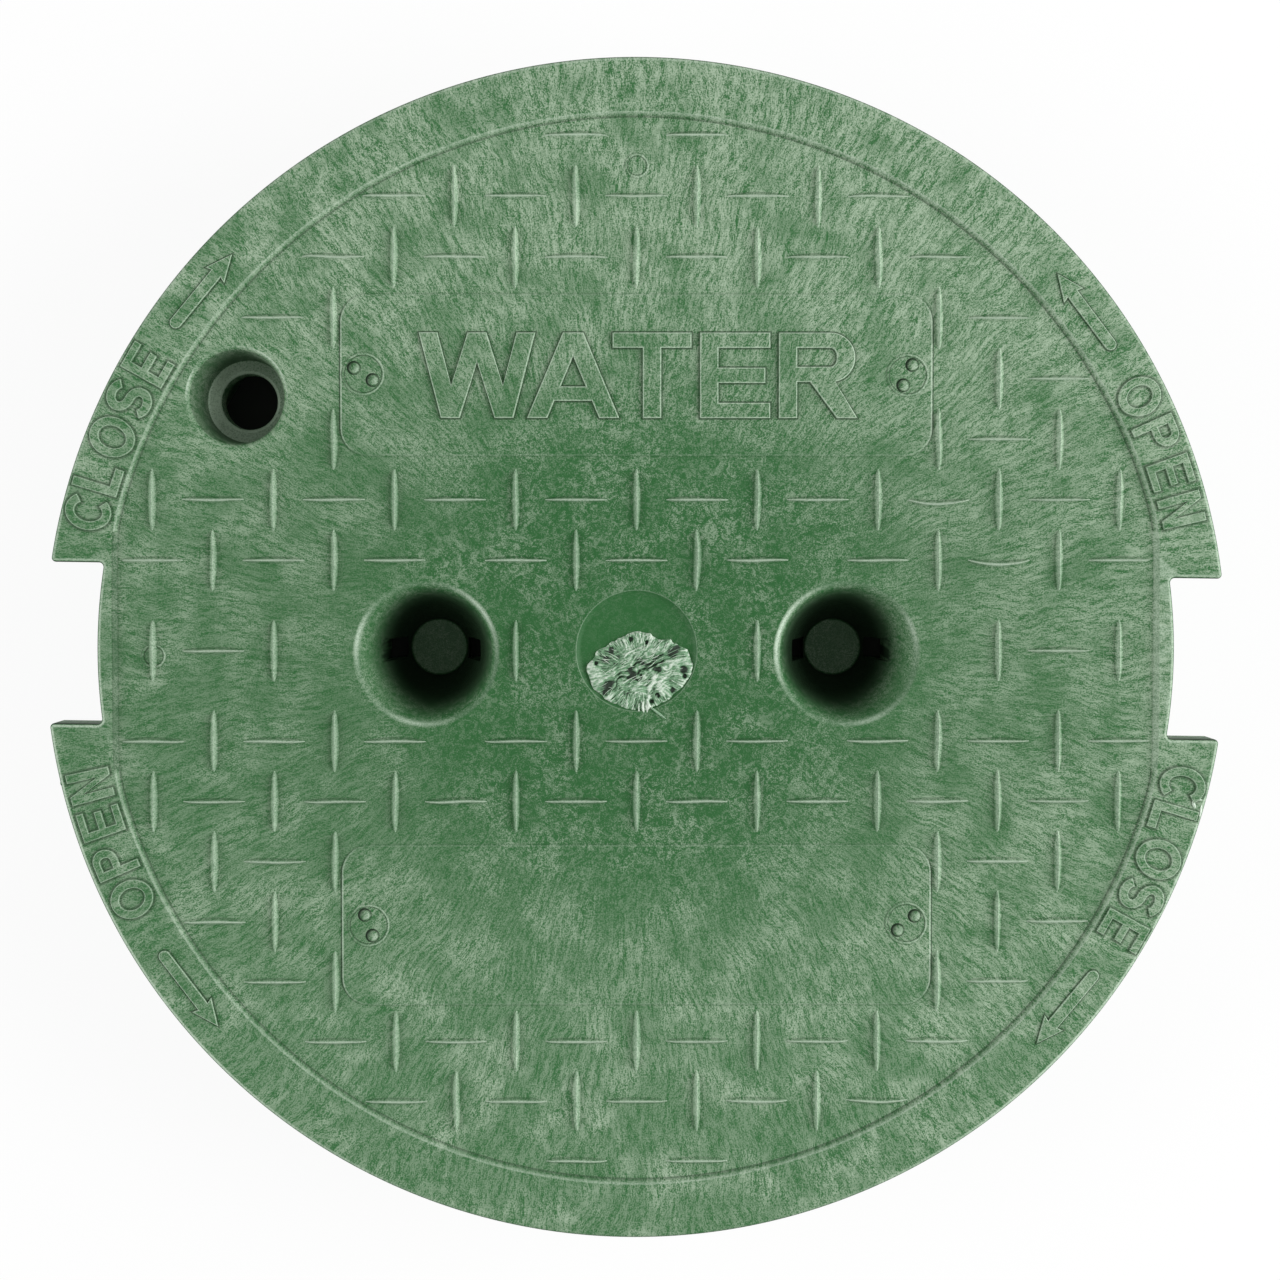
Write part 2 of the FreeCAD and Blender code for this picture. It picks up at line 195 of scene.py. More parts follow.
def softNoise(u, v, seed):  # smooth random heights: cosine-blended values on a whole-number lattice
    lattice = np.random.RandomState(seed).rand(64, 64)
    iu, iv = np.floor(u).astype(int), np.floor(v).astype(int)
    fu, fv = ((1 - np.cos(np.pi * (a - np.floor(a)))) / 2 for a in (u, v))
    pick = lambda du, dv: lattice[(iu + du) % 64, (iv + dv) % 64]
    low = pick(0, 0) * (1 - fu) + pick(1, 0) * fu
    high = pick(0, 1) * (1 - fu) + pick(1, 1) * fu
    return low * (1 - fv) + high * fv


# finish: green structural foam with pale flow streaks that run outwards from the gate
def linear(r, g, b):  # screen colour 0-255 as a shader colour
    return tuple(((c / 255 + 0.055) / 1.055) ** 2.4 if c > 10 else c / 3294.6 for c in (r, g, b)) + (1,)


def setInputs(tree, node, inputs):  # by number or name: a socket is linked, anything else is the input's value
    for key, value in inputs.items():
        if isinstance(value, bpy.types.NodeSocket):
            tree.links.new(value, node.inputs[key])
        else:
            node.inputs[key].default_value = value


def addNode(tree, kind, inputs=(), **settings):  # a node with its settings and its inputs
    node = tree.nodes.new(kind)
    for key, value in settings.items():
        setattr(node, key, value)
    setInputs(tree, node, dict(inputs))
    return node


def mathNode(tree, operation, *values, clamp=False):  # one sum on numbers or sockets
    node = addNode(tree, "ShaderNodeMath", operation=operation, use_clamp=clamp, inputs=dict(enumerate(values)))
    return node.outputs[0]


def vectorNode(tree, operation, *vectors, **others):  # one sum on vectors; lengths and dot products are numbers
    node = addNode(tree, "ShaderNodeVectorMath", operation=operation, inputs={**dict(enumerate(vectors)), **others})
    return node.outputs[1 if operation in ("LENGTH", "DOT_PRODUCT") else 0]


def rangeNode(tree, value, low, high, toLow=0.0, toHigh=1.0):  # eased step from low to high
    node = addNode(tree, "ShaderNodeMapRange", interpolation_type="SMOOTHSTEP",
                   inputs={0: value, 1: low, 2: high, 3: toLow, 4: toHigh})
    return node.outputs[0]


def noiseNode(tree, vector, scale, detail, roughness=0.5, twist=0.0):  # soft noise, finer as the scale rises
    return addNode(tree, "ShaderNodeTexNoise", inputs={
        "Vector": vector, "Scale": scale, "Detail": detail, "Roughness": roughness, "Distortion": twist}).outputs


def mixNode(tree, factor, first, second):  # the first colour at zero, the second at one
    return addNode(tree, "ShaderNodeMix", data_type="RGBA", inputs={0: factor, 6: first, 7: second}).outputs[2]


def bumpNode(tree, finish, height):  # fine relief from a mask, the finish gives its strength and depth
    return addNode(tree, "ShaderNodeBump", inputs={
        "Strength": finish["bump"], "Distance": finish["bumpDepth"] * mm, "Height": height}).outputs[0]


def newMaterial(name):  # a material with its node tree and its shader
    material = bpy.data.materials.new(name)
    material.use_nodes = True
    return material, material.node_tree, material.node_tree.nodes["Principled BSDF"]


def newGroup(name, inputs, outputs):  # an empty shader group whose sockets are numbers
    tree = bpy.data.node_groups.new(name, "ShaderNodeTree")
    for label, default in inputs.items():
        tree.interface.new_socket(label, in_out="INPUT", socket_type="NodeSocketFloat").default_value = default
    for label in outputs:
        tree.interface.new_socket(label, in_out="OUTPUT", socket_type="NodeSocketFloat")
    return tree, tree.nodes.new("NodeGroupInput").outputs, tree.nodes.new("NodeGroupOutput")


# streaks are noise stretched along the radius: the angle is cut fine, the distance coarse
flow = {"swirl": 4.5, "swirlSize": 24.0, "curl": 0.6, "curlSize": 3.6, "fine": 620.0, "run": 0.8, "broad": 0.17,
        "straightFrom": (30.0, 82.0), "nearSize": 0.45, "nearTwist": 1.6, "nearLift": 1.7, "nearShift": -0.42,
        "lean": (0.0005, 0.0005, 0), "cloudSize": 13.0, "grainSize": 0.36, "oval": (0.48, 1.0, 0)}


def flowGroup(f):  # masks on Object coordinates, in millimetres from the gate
    tree, given, out = newGroup("flowStreaks", {"Swirl": f["swirl"]}, ("Streak", "Broad", "Cloud", "Grain", "Reach"))
    place = addNode(tree, "ShaderNodeTexCoord").outputs["Object"]
    inMm = vectorNode(tree, "SCALE", place, Scale=1 / mm)
    moved = inMm
    for amount, size in ((given["Swirl"], f["swirlSize"]), (f["curl"], f["curlSize"])):  # each place moves a little
        centred = vectorNode(tree, "SUBTRACT", noiseNode(tree, inMm, 1 / size, 1.0)["Color"], (0.5, 0.5, 0.5))
        shift = vectorNode(tree, "SCALE", centred, Scale=mathNode(tree, "MULTIPLY", amount, 2.0))
        moved = vectorNode(tree, "ADD", moved, shift)
    part = addNode(tree, "ShaderNodeSeparateXYZ", inputs={0: moved}).outputs
    angle = mathNode(tree, "ARCTAN2", part[1], part[0])
    reach = vectorNode(tree, "LENGTH", vectorNode(tree, "MULTIPLY", moved, (1, 1, 0)))
    cell = addNode(tree, "ShaderNodeCombineXYZ", inputs={
        0: mathNode(tree, "MULTIPLY", mathNode(tree, "COSINE", angle), f["fine"]),
        1: mathNode(tree, "MULTIPLY", mathNode(tree, "SINE", angle), f["fine"]),
        2: mathNode(tree, "DIVIDE", mathNode(tree, "ADD", reach, part[2]), f["run"])}).outputs[0]
    outwards, masks = rangeNode(tree, reach, *f["straightFrom"]), {}
    for label, coarse in (("Streak", 1.0), ("Broad", f["broad"])):  # twisted flecks near the gate, streaks further out
        far = noiseNode(tree, cell, coarse, 2.0, 0.7)["Fac"]
        fleck = noiseNode(tree, inMm, coarse / f["nearSize"], 2.0, 0.65, f["nearTwist"])["Fac"]
        near = mathNode(tree, "MULTIPLY_ADD", fleck, f["nearLift"], f["nearShift"])
        masks[label] = mathNode(tree, "MULTIPLY_ADD", mathNode(tree, "SUBTRACT", far, near), outwards, near)
    cloud = noiseNode(tree, inMm, 1 / f["cloudSize"], 4.0, 0.65)["Fac"]
    masks["Cloud"] = mathNode(tree, "ADD", cloud, vectorNode(tree, "DOT_PRODUCT", inMm, f["lean"]))
    masks["Grain"] = noiseNode(tree, inMm, 1 / f["grainSize"], 1.0, 0.7)["Fac"]
    masks["Reach"] = vectorNode(tree, "LENGTH", vectorNode(tree, "MULTIPLY", moved, f["oval"]))
    setInputs(tree, out, masks)
    return tree


flowStreaks = flowGroup(flow)

# the pale and the dark colours mixed in by the attribute are painted highlight and painted shade
green = {"deep": (36, 82, 41), "body": (50, 99, 56), "streak": (157, 177, 153), "paintedHighlight": (182, 201, 180),
         "paintedShade": (22, 38, 23), "swirl": 4.5, "flow": 0.92, "spread": (12.0, 100.0, 0.5, 1.0),
         "cloudy": (0.36, 0.64, 0.5, 1.1), "shares": {"Streak": 0.4, "Broad": 0.3, "Grain": 0.3},
         "streakFrom": (0.405, 0.59), "highlightGrain": (0.25, 0.62, 0.5, 1.0), "roughness": (0.3, 0.7, 0.42, 0.64),
         "specular": 0.12, "bump": 0.4, "bumpDepth": 0.05}


def foamMaterial(name, g):  # streaks thicken away from the gate; the attribute above zero turns pale as painted highlight, below zero dark as painted shade
    material, tree, shader = newMaterial(name)
    out = addNode(tree, "ShaderNodeGroup", node_tree=flowStreaks, inputs={"Swirl": g["swirl"]}).outputs
    whiteningAndPaintedLight = addNode(tree, "ShaderNodeAttribute", attribute_name="whiteningAndPaintedLight").outputs["Fac"]
    spread = rangeNode(tree, out["Reach"], *g["spread"])
    thick = mathNode(tree, "MULTIPLY", spread, rangeNode(tree, out["Cloud"], *g["cloudy"]))
    mark = 0.0
    for label, share in g["shares"].items():
        mark = mathNode(tree, "MULTIPLY_ADD", out[label], share, mark)
    line = mathNode(tree, "MULTIPLY", rangeNode(tree, mark, *g["streakFrom"]), thick)
    base = mixNode(tree, spread, linear(*g["deep"]), linear(*g["body"]))
    colour = mixNode(tree, mathNode(tree, "MULTIPLY", line, g["flow"], clamp=True), base, linear(*g["streak"]))
    # painted highlight where the attribute is above zero, broken up by the grain; painted shade where it is below zero
    paintedHighlight = mathNode(tree, "MULTIPLY", whiteningAndPaintedLight, rangeNode(tree, out["Grain"], *g["highlightGrain"]), clamp=True)
    colour = mixNode(tree, paintedHighlight, colour, linear(*g["paintedHighlight"]))
    colour = mixNode(tree, mathNode(tree, "MULTIPLY", whiteningAndPaintedLight, -1.0, clamp=True), colour, linear(*g["paintedShade"]))
    setInputs(tree, shader, {
        "Base Color": colour, "Specular IOR Level": g["specular"], "Normal": bumpNode(tree, g, out["Grain"]),
        "Roughness": rangeNode(tree, mark, *g["roughness"])})
    return material


mouldedGreen = foamMaterial("mouldedGreen", green)
smoothGreen = foamMaterial("smoothGreen", {**green, "deep": (33, 82, 39), "flow": 0.25})
print("finishes made")


# flange: outline of arcs and notch sides, with a rounded edge carried round it
flange = {"radius": 139.7, "plugRadius": 127.3, "top": 38.1, "underside": 28.6, "edgeRound": 0.9, "lap": 0.05,
          "notchHalf": 19.05, "notchTurn": -0.84, "notchCorner": 1.1, "lugCorner": 1.0, "arcStep": 1.2,
          # painted highlight on the edge's round, set every 30 degrees from 15, and painted shade on its outer side
          "paintedHighlight": [0.6, 0.15, 0.6, 0.5, 0.1, 0.5, 1.0, 1.0, 0, 0, 1.0, 0.7],  # every 30 degrees from 15
          "edgeHighlight": [0, 0, 0, 0.3, 1, 0.9, 0.4], "edgeDark": [0.7, 1.0, 0.9, 0.4],
          "notchLand": (128, 22), "notchHighlight": (0.4, 0.15)}


def flangeOutline(f):  # half the outline counter-clockwise from the right notch, then the same turned half round
    outer, plug, half = f["radius"], f["plugRadius"], f["notchHalf"]
    inner, lug = f["notchCorner"], f["lugCorner"]
    innerX = math.sqrt((plug + inner) ** 2 - (half - inner) ** 2)
    innerTurn = math.asin((half - inner) / (plug + inner))
    lugX = math.sqrt((outer - lug) ** 2 - (half + lug) ** 2)
    lugTurn = math.asin((half + lug) / (outer - lug))
    stretches = []

    def arc(x, y, radius, start, end, sign):
        count = max(6, int(abs(end - start) * radius / f["arcStep"]))
        ray = rays(arcSteps(start, end, count))
        stretches.append((np.array([x, y]) + radius * ray, sign * ray))

    def side(x0, x1):
        x = np.linspace(x0, x1, 9, endpoint=False)
        stretches.append((pairs(x, np.full(9, half)), np.tile([0.0, -1.0], (9, 1))))

    arc(0, 0, plug, -innerTurn, innerTurn, 1)
    arc(innerX, half - inner, inner, math.pi + innerTurn, math.pi / 2, -1)
    side(innerX, lugX)
    arc(lugX, half + lug, lug, -math.pi / 2, lugTurn, 1)
    arc(0, 0, outer, lugTurn, math.pi - lugTurn, 1)
    arc(-lugX, half + lug, lug, math.pi - lugTurn, 1.5 * math.pi, 1)
    side(-lugX, -innerX)
    arc(-innerX, half - inner, inner, math.pi / 2, -innerTurn, -1)
    points = np.concatenate([s[0] for s in stretches])
    normals = np.concatenate([s[1] for s in stretches])
    onPlug = len(stretches[0][0])
    spin = turnMatrix(math.radians(f["notchTurn"]))
    return np.concatenate([points, -points]) @ spin, np.concatenate([normals, -normals]) @ spin, onPlug


flangePath, flangeNormals, onPlug = flangeOutline(flange)
halfCount = len(flangePath) // 2


def flangeSurfaces(f):  # rows climb from the underside, over the rounded edges, to the top
    r, lap = f["edgeRound"], f["lap"]
    low = np.full(halfCount, r)
    low[:onPlug] = 0
    low = np.tile(low, 2)
    even = np.ones((1, len(low)))
    swing = np.linspace(0, math.pi / 2, 7)[:, None]
    out = np.concatenate([-low - lap * (low > 0)[None], low * (np.sin(swing) - 1),
                          r * (np.cos(swing) - 1) * even, (-r - lap) * even])
    z = np.concatenate([f["underside"] * even, f["underside"] + low * (1 - np.cos(swing)),
                        (f["top"] - r + r * np.sin(swing)) * even, f["top"] * even])
    # painted highlight on the round of the edge, stronger at some angles, with painted shade on its outer side
    around = np.degrees(np.arctan2(flangePath[:, 1], flangePath[:, 0]))
    pale = np.interp(around, 15 + 30 * np.arange(12), f["paintedHighlight"], period=360)
    whiteningAndPaintedLight = np.outer([0] * 8 + f["edgeHighlight"] + [0], pale)
    whiteningAndPaintedLight[8:12] -= np.array(f["edgeDark"])[:, None]
    edge = carriedSurface(flangePath, flangeNormals, out, z, whiteningAndPaintedLight)
    grid = edge[0].reshape(len(z), -1, 3)
    sweep = np.linspace(0, 1, 160)
    surfaces = [edge]
    for half in (0, 1):  # underside of each flange half, from its edge back to the plug
        first = half * halfCount
        outerRun = grid[0, first + onPlug:first + halfCount, :2]
        span = np.arctan2(outerRun[[0, -1], 1], outerRun[[0, -1], 0])
        span[1] += 2 * math.pi * (span[1] < span[0])
        back = span[1] + (span[0] - span[1]) * sweep
        plugRun = f["plugRadius"] * rays(back)
        surfaces.append(flatSurface([np.concatenate([outerRun, plugRun[1:-1]])], f["underside"], -1))
    return surfaces, grid[-1, :, :2]


# rim: the raised land's slope down to the sunk tread field, round with a straight side across each notch
rim = {"radius": 125.7, "flat": 122.5, "field": 37.1, "slope": 1.1, "lap": 0.25, "cornerEase": 2.0, "steps": 900,
       "slopePaintedLight": ([0, 0.15, 0.45, 0.75, 1], [0.4, 0.45, 0.15, -0.3, -0.55]), "flatPaintedLight": 0.35}


def rimSurface(p):  # softly blended lesser of the round and the straight radius; the slope eases at both ends
    turn = arcSteps(0, 2 * np.pi, p["steps"])
    straight = p["flat"] / np.maximum(np.abs(np.cos(turn)), 0.2)
    k = p["cornerEase"]
    reach = p["radius"] - np.log1p(np.exp(np.clip(k * (p["radius"] - straight), -60, 60))) / k
    path = reach[:, None] * rays(turn)
    t = np.linspace(0, 1, 9)
    ease = 0.55 * t + 0.45 * (1 - np.cos(np.pi * t)) / 2
    rise = flange["top"] - p["field"]
    out = np.concatenate([[p["slope"] + 0.2], p["slope"] * (1 - t), [-p["lap"]]])
    z = np.concatenate([[flange["top"]], flange["top"] - rise * ease, [p["field"]]])
    # painted highlight at the top of the slope, painted shade at its foot
    slopePaintedLight = np.concatenate([[0], np.interp(t, *p["slopePaintedLight"]), [0]])
    flatPaintedLight = p["flatPaintedLight"] * np.sign(np.cos(turn))  # along the flats: painted shade on the left, painted highlight on the right
    slopeRow = np.concatenate([[0], np.ones(9), [0]])
    whiteningAndPaintedLight = np.where(straight < p["radius"], np.outer(slopeRow, flatPaintedLight), slopePaintedLight[:, None])
    surface = carriedSurface(path, outwardNormals(path), out, z, whiteningAndPaintedLight)
    grid = surface[0].reshape(len(z), -1, 3)
    return surface, grid[0, :, :2], grid[-1, :, :2]


flangeParts, flangeTopLoop = flangeSurfaces(flange)
rimSlope, rimTopLoop, fieldLoop = rimSurface(rim)
landTop = flatSurface([flangeTopLoop, rimTopLoop], flange["top"])
# painted highlight on the land beside each notch, stronger on the right
besideNotch = (np.abs(landTop[0][:, :2]) < flange["notchLand"]).all(axis=1)
landTop[2][besideNotch] = np.where(landTop[0][besideNotch, 0] > 0, *flange["notchHighlight"])
makePiece("flange", flangeParts + [landTop, rimSlope], mouldedGreen)


# key cups: a drafted wall under a rounded lip, with two key slots through the foot of the wall
cup = {"x": 49.75, "y": -0.7, "mouth": 15.2, "floor": 7.1, "floorZ": 5.35, "lip": 2.2, "wall": 3.0, "outerFoot": 2.15,
       "outerTop": 29.1, "slotIn": 7.6, "slotOut": 11.8, "slotHalf": 2.65, "steps": 84,
       "paintedHighlight": {-1: [(38, 26, 0.9), (166, 20, 0.8), (258, 24, 0.6)],
                  1: [(160, 36, 1.1), (20, 16, 0.5), (290, 20, 0.5)]},
       "wallShade": ([-5.9, -4.4, -3.1, -2.1, -1, 0], [-1.0, -0.8, -0.35, -0.1, 0.0, 0.0]),  # painted shade by reach from the lip
       "floorHighlight": 0.12, "lipHighlightBase": 0.12, "slotShade": -1.0, "darkWay": {-1: 25, 1: 155}, "darkShift": 1.6}


def lipProfile(mouth, lip, lean, field):  # a leaning wall that flares by the lip, faster and faster towards the field
    depth = np.array([0, 0, 0.02, 0.07, 0.16, 0.32, 0.58, 0.95, 1.5, 2.2, 3.2, 4.6])
    r = mouth - math.tan(lean) * depth + lip * np.exp(-(2 * depth / lip) ** 0.75)
    r[0] += 0.05
    return pairs(r, field - depth)


def highlightArcs(turn, arcs):  # painted highlights round a mouth: soft bumps given as (angle, half width, strength), in degrees
    away = [(np.degrees(turn) - angle + 180) % 360 - 180 for angle, _, _ in arcs]
    return sum(strength * np.exp(-(a / half) ** 2) for a, (_, half, strength) in zip(away, arcs))


def cupSurfaces(c, side):  # plan triangles round the slots, raised to the inner and the outer profile
    lean = math.atan((c["mouth"] - c["floor"]) / (rim["field"] - c["floorZ"]))
    lip = lipProfile(c["mouth"], c["lip"], lean, rim["field"])
    wallR = np.linspace(lip[-1, 0], c["floor"] + 0.5, 16)[1:]
    wallZ = np.interp(wallR, [c["floor"], lip[-1, 0]], [c["floorZ"], lip[-1, 1]])
    inner = np.concatenate([lip, pairs(wallR, wallZ),
                            [(c["floor"] + 0.15, c["floorZ"] + 0.5), (c["floor"] - 0.35, c["floorZ"]),
                             (3.5, c["floorZ"])]])
    outerR = np.array([3.5, c["floor"] + c["wall"], c["mouth"] + c["wall"] - 0.29])
    outerZ = np.array([c["outerFoot"], c["outerFoot"], c["outerTop"]])
    ray = rays(arcSteps(0, 2 * np.pi, c["steps"]))
    t = np.linspace(0, 1, 11)[:-1]
    slotRun = c["slotOut"] - c["slotIn"]
    x = np.concatenate([c["slotIn"] + slotRun * t, np.full(10, c["slotOut"]),
                        c["slotOut"] - slotRun * t, np.full(10, c["slotIn"])])
    y = c["slotHalf"] * np.concatenate([-np.ones(10), 2 * t - 1, np.ones(10), 1 - 2 * t])
    slot = pairs(x, y)
    slots = [slot, -slot]
    middle = np.array([side * c["x"], c["y"]])

    def lifted(rings, radii, heights, facing, paintedLightAndWhitening):  # plan triangles raised to the profile's height at their radius
        inside = (np.asarray(rings[1:])[:, None, None] * ray).reshape(-1, 2)
        flat, faces = filledPlan([rings[0] * ray] + slots, inside[~insideLoops(inside, slots)])
        reach = np.hypot(flat[:, 0], flat[:, 1])
        order = np.argsort(radii)
        z = np.interp(reach, np.asarray(radii)[order], np.asarray(heights)[order])
        edge = c["mouth"] + c["lip"]
        around = np.arctan2(flat[:, 1], flat[:, 0])
        # painted shade on the wall by reach from the lip, shifted darkShift towards darkWay; painted highlight on the
        # lip and the floor
        shifted = reach - c["darkShift"] * np.cos(around - math.radians(c["darkWay"][side]))
        whiteningAndPaintedLight = np.interp(shifted, edge + np.array(c["wallShade"][0]), c["wallShade"][1])
        lipHighlight = c["lipHighlightBase"] + highlightArcs(around, c["paintedHighlight"][side])
        lipHighlight = lipHighlight * np.exp(-((reach - edge + 0.7) / 0.55) ** 2)
        whiteningAndPaintedLight = np.where(reach < edge - 1.9, whiteningAndPaintedLight, np.maximum(whiteningAndPaintedLight, lipHighlight))
        whiteningAndPaintedLight = paintedLightAndWhitening * np.where(reach < c["floor"] - 0.1, c["floorHighlight"], whiteningAndPaintedLight)
        return np.column_stack([flat + middle, z]), faces[:, ::facing], whiteningAndPaintedLight

    top = lifted(inner[:, 0], inner[:, 0], inner[:, 1], 1, 1.0)
    outerRings = np.concatenate([np.linspace(outerR[2], outerR[1], 9), [7.0, 3.5]])
    bottom = lifted(outerRings, outerR, outerZ, -1, 0)
    walls = []
    for loop in slots:  # slot sides, from the cup's inside down to its outside
        reach = np.hypot(loop[:, 0], loop[:, 1])
        order = np.argsort(inner[:, 0])
        z = np.stack([np.interp(reach, inner[order, 0], inner[order, 1]), np.interp(reach, outerR, outerZ)])
        xy = np.broadcast_to(loop + middle, (2,) + loop.shape)
        # the slot sides are painted dark as shade
        walls.append(gridSurface(np.concatenate([xy, z[..., None]], axis=2), True, [c["slotShade"]] * 2))
    return [top, bottom] + walls, inner[0, 0] * ray + middle, outerR[2] * ray + middle


cupParts = {side: cupSurfaces(cup, side) for side in (-1, 1)}
makePiece("keyCupLeft", cupParts[-1][0], mouldedGreen)
makePiece("keyCupRight", cupParts[1][0], mouldedGreen)


# bolt recess: lip, tapered counterbore, seat, hole and the boss below
bolt = {"x": -94.28, "y": 59.9, "mouth": 10.8, "seat": 10.0, "seatZ": 22.2, "hole": 6.75, "lip": 1.4, "bossZ": 16.2,
        "boss": 14.0, "bossTop": 29.1, "footRound": 0.6, "holeRound": 0.9, "steps": 96,
        "paintedHighlight": [(45, 32, 0.9), (163, 15, 0.9)], "lipHighlight": [0.6, 1.0, 0.8, 0.2], "lipHighlightBase": 0.1,
        "wallShade": -0.45, "footPaintedLight": (0.75, -0.3, 0.4), "seatHighlight": 1.3}


def boltSurface(b):  # lip, wall, quarter rounds at seat and hole, and the boss, all in one turned profile
    lean = math.atan((b["mouth"] - b["seat"]) / (rim["field"] - b["seatZ"]))
    lip = lipProfile(b["mouth"], b["lip"], lean, rim["field"])
    swing = np.linspace(0, math.pi / 2, 6)
    r, h = b["footRound"], b["holeRound"]
    foot = pairs(b["seat"] + 0.03 - r * (1 - np.cos(swing)), b["seatZ"] + r * (1 - np.sin(swing)))
    mouthing = pairs(b["hole"] + h * (1 - np.sin(swing)), b["seatZ"] - h * (1 - np.cos(swing)))
    rest = [(b["hole"], b["bossZ"] + 0.3), (b["hole"] + 0.3, b["bossZ"]), (b["boss"] - 0.4, b["bossZ"]),
            (b["boss"], b["bossZ"] + 0.4), (b["boss"], b["bossTop"])]
    profile = np.concatenate([lip, foot, mouthing, rest])
    turn = arcSteps(0, 2 * np.pi, b["steps"])
    # painted highlight round the lip, painted shade on the wall, painted light on the seat's foot that changes with the
    # angle, painted highlight on the seat
    whiteningAndPaintedLight = np.zeros((len(profile), b["steps"]))
    whiteningAndPaintedLight[2:6] = np.outer(b["lipHighlight"], b["lipHighlightBase"] + highlightArcs(turn, b["paintedHighlight"]))
    whiteningAndPaintedLight[7:len(lip) + 1] = b["wallShade"]
    level, swell, way = b["footPaintedLight"]
    whiteningAndPaintedLight[len(lip) + 2:len(lip) + 7] = level + swell * np.cos(turn - way)
    whiteningAndPaintedLight[len(lip) + 7:len(lip) + 10] = b["seatHighlight"]
    return latheSurface(profile, (b["x"], b["y"]), b["steps"], whiteningAndPaintedLight), profile[0, 0]


boltPart, boltMouth = boltSurface(bolt)
makePiece("boltRecess", [boltPart], mouldedGreen)


# tread field: the level face between the rim, the recesses and the gate dish
dish = {"radius": 14.4, "floor": 13.0, "depth": 0.8, "lap": 0.05, "paintedHighlight": 0.35, "steps": 120}


def dishSurface(d):  # a shallow pan: rounded edge, short slope, floor that falls a little to the middle
    z = rim["field"]
    floor = z - d["depth"]
    profile = [(d["radius"] + d["lap"], z), (d["radius"], z), (d["radius"] - 0.25, z - 0.22),
               (d["floor"] + 0.5, floor + 0.14), (d["floor"], floor), (6, floor - 0.05), (0, floor - 0.1)]
    # painted highlight on the dish's rounded edge
    return latheSurface(profile, (0, 0), d["steps"], [0, d["paintedHighlight"], 0, 0, 0, 0, 0])


boltLoop = circleLoop(bolt["x"], bolt["y"], boltMouth, bolt["steps"])
dishLoop = circleLoop(0, 0, dish["radius"] + dish["lap"], dish["steps"])
fieldFace = flatSurface([fieldLoop, cupParts[-1][1], cupParts[1][1], boltLoop, dishLoop], rim["field"])
makePiece("treadField", [fieldFace], mouldedGreen)
makePiece("gateDish", [dishSurface(dish)], smoothGreen)


# tread bars: a basket weave with one lone row across the middle, kept clear of rim, recesses and label plates
bars = {"pitch": 14.2875, "length": 14.6, "width": 2.3, "endWidth": 1.05, "height": 1.0, "root": 0.12,
        "rimGap": 0.1, "recessGap": 1.5, "labelGap": 0.3, "along": 11, "section": [-1, -0.62, -0.3, 0, 0.3, 0.62, 1],
        "sagging": [(71.4, 35.7), (85.7, 21.4)], "sag": 1.0}
# the plates' bevels get painted highlight and their feet painted shade; ends is that painted light's share where a side
# faces +Y or -Y
label = {"length": 139.7, "width": 38.1, "offset": 65.1, "corner": 6.5, "rise": 0.25, "edge": 0.4,
         "paintedLightAndWhitening": 0.8, "paintedShade": 0.9, "ends": 0.15}


def barPlaces(b):  # the same rule as in the solid: upright where column plus row number is even
    columns = int(rim["radius"] / b["pitch"])
    number = np.arange(-columns, columns + 1)
    steps = np.arange(1, columns + 1)
    level = np.concatenate([[0], steps + 0.5, -steps - 0.5])
    parity = np.concatenate([[0], steps, steps])
    column, row = np.meshgrid(number, np.arange(len(level)))
    upright = ((column + parity[row]) % 2 == 0).ravel()
    x = (column * b["pitch"]).ravel()
    y = (level[row] * b["pitch"]).ravel()
    halfX = np.where(upright, b["endWidth"], b["length"]) / 2
    halfY = np.where(upright, b["length"], b["endWidth"]) / 2
    farX, farY = np.abs(x) + halfX, np.abs(y) + halfY
    clear = (np.hypot(farX, farY) <= rim["radius"] - b["rimGap"]) & (farX <= rim["flat"] - b["rimGap"])
    beside = np.abs(x) - halfX >= label["length"] / 2 + b["labelGap"]
    beyond = np.abs(np.abs(y) - label["offset"]) - halfY >= label["width"] / 2 + b["labelGap"]
    clear &= beside | beyond
    cupReach = cup["mouth"] + cup["lip"]
    for cx, cy, reach in ((-cup["x"], cup["y"], cupReach), (cup["x"], cup["y"], cupReach),
                          (bolt["x"], bolt["y"], bolt["mouth"] + bolt["lip"]), (0, 0, dish["radius"])):
        away = np.hypot(np.maximum(np.abs(x - cx) - halfX, 0), np.maximum(np.abs(y - cy) - halfY, 0))
        clear &= away >= reach + b["recessGap"]
    return x[clear], y[clear], upright[clear]


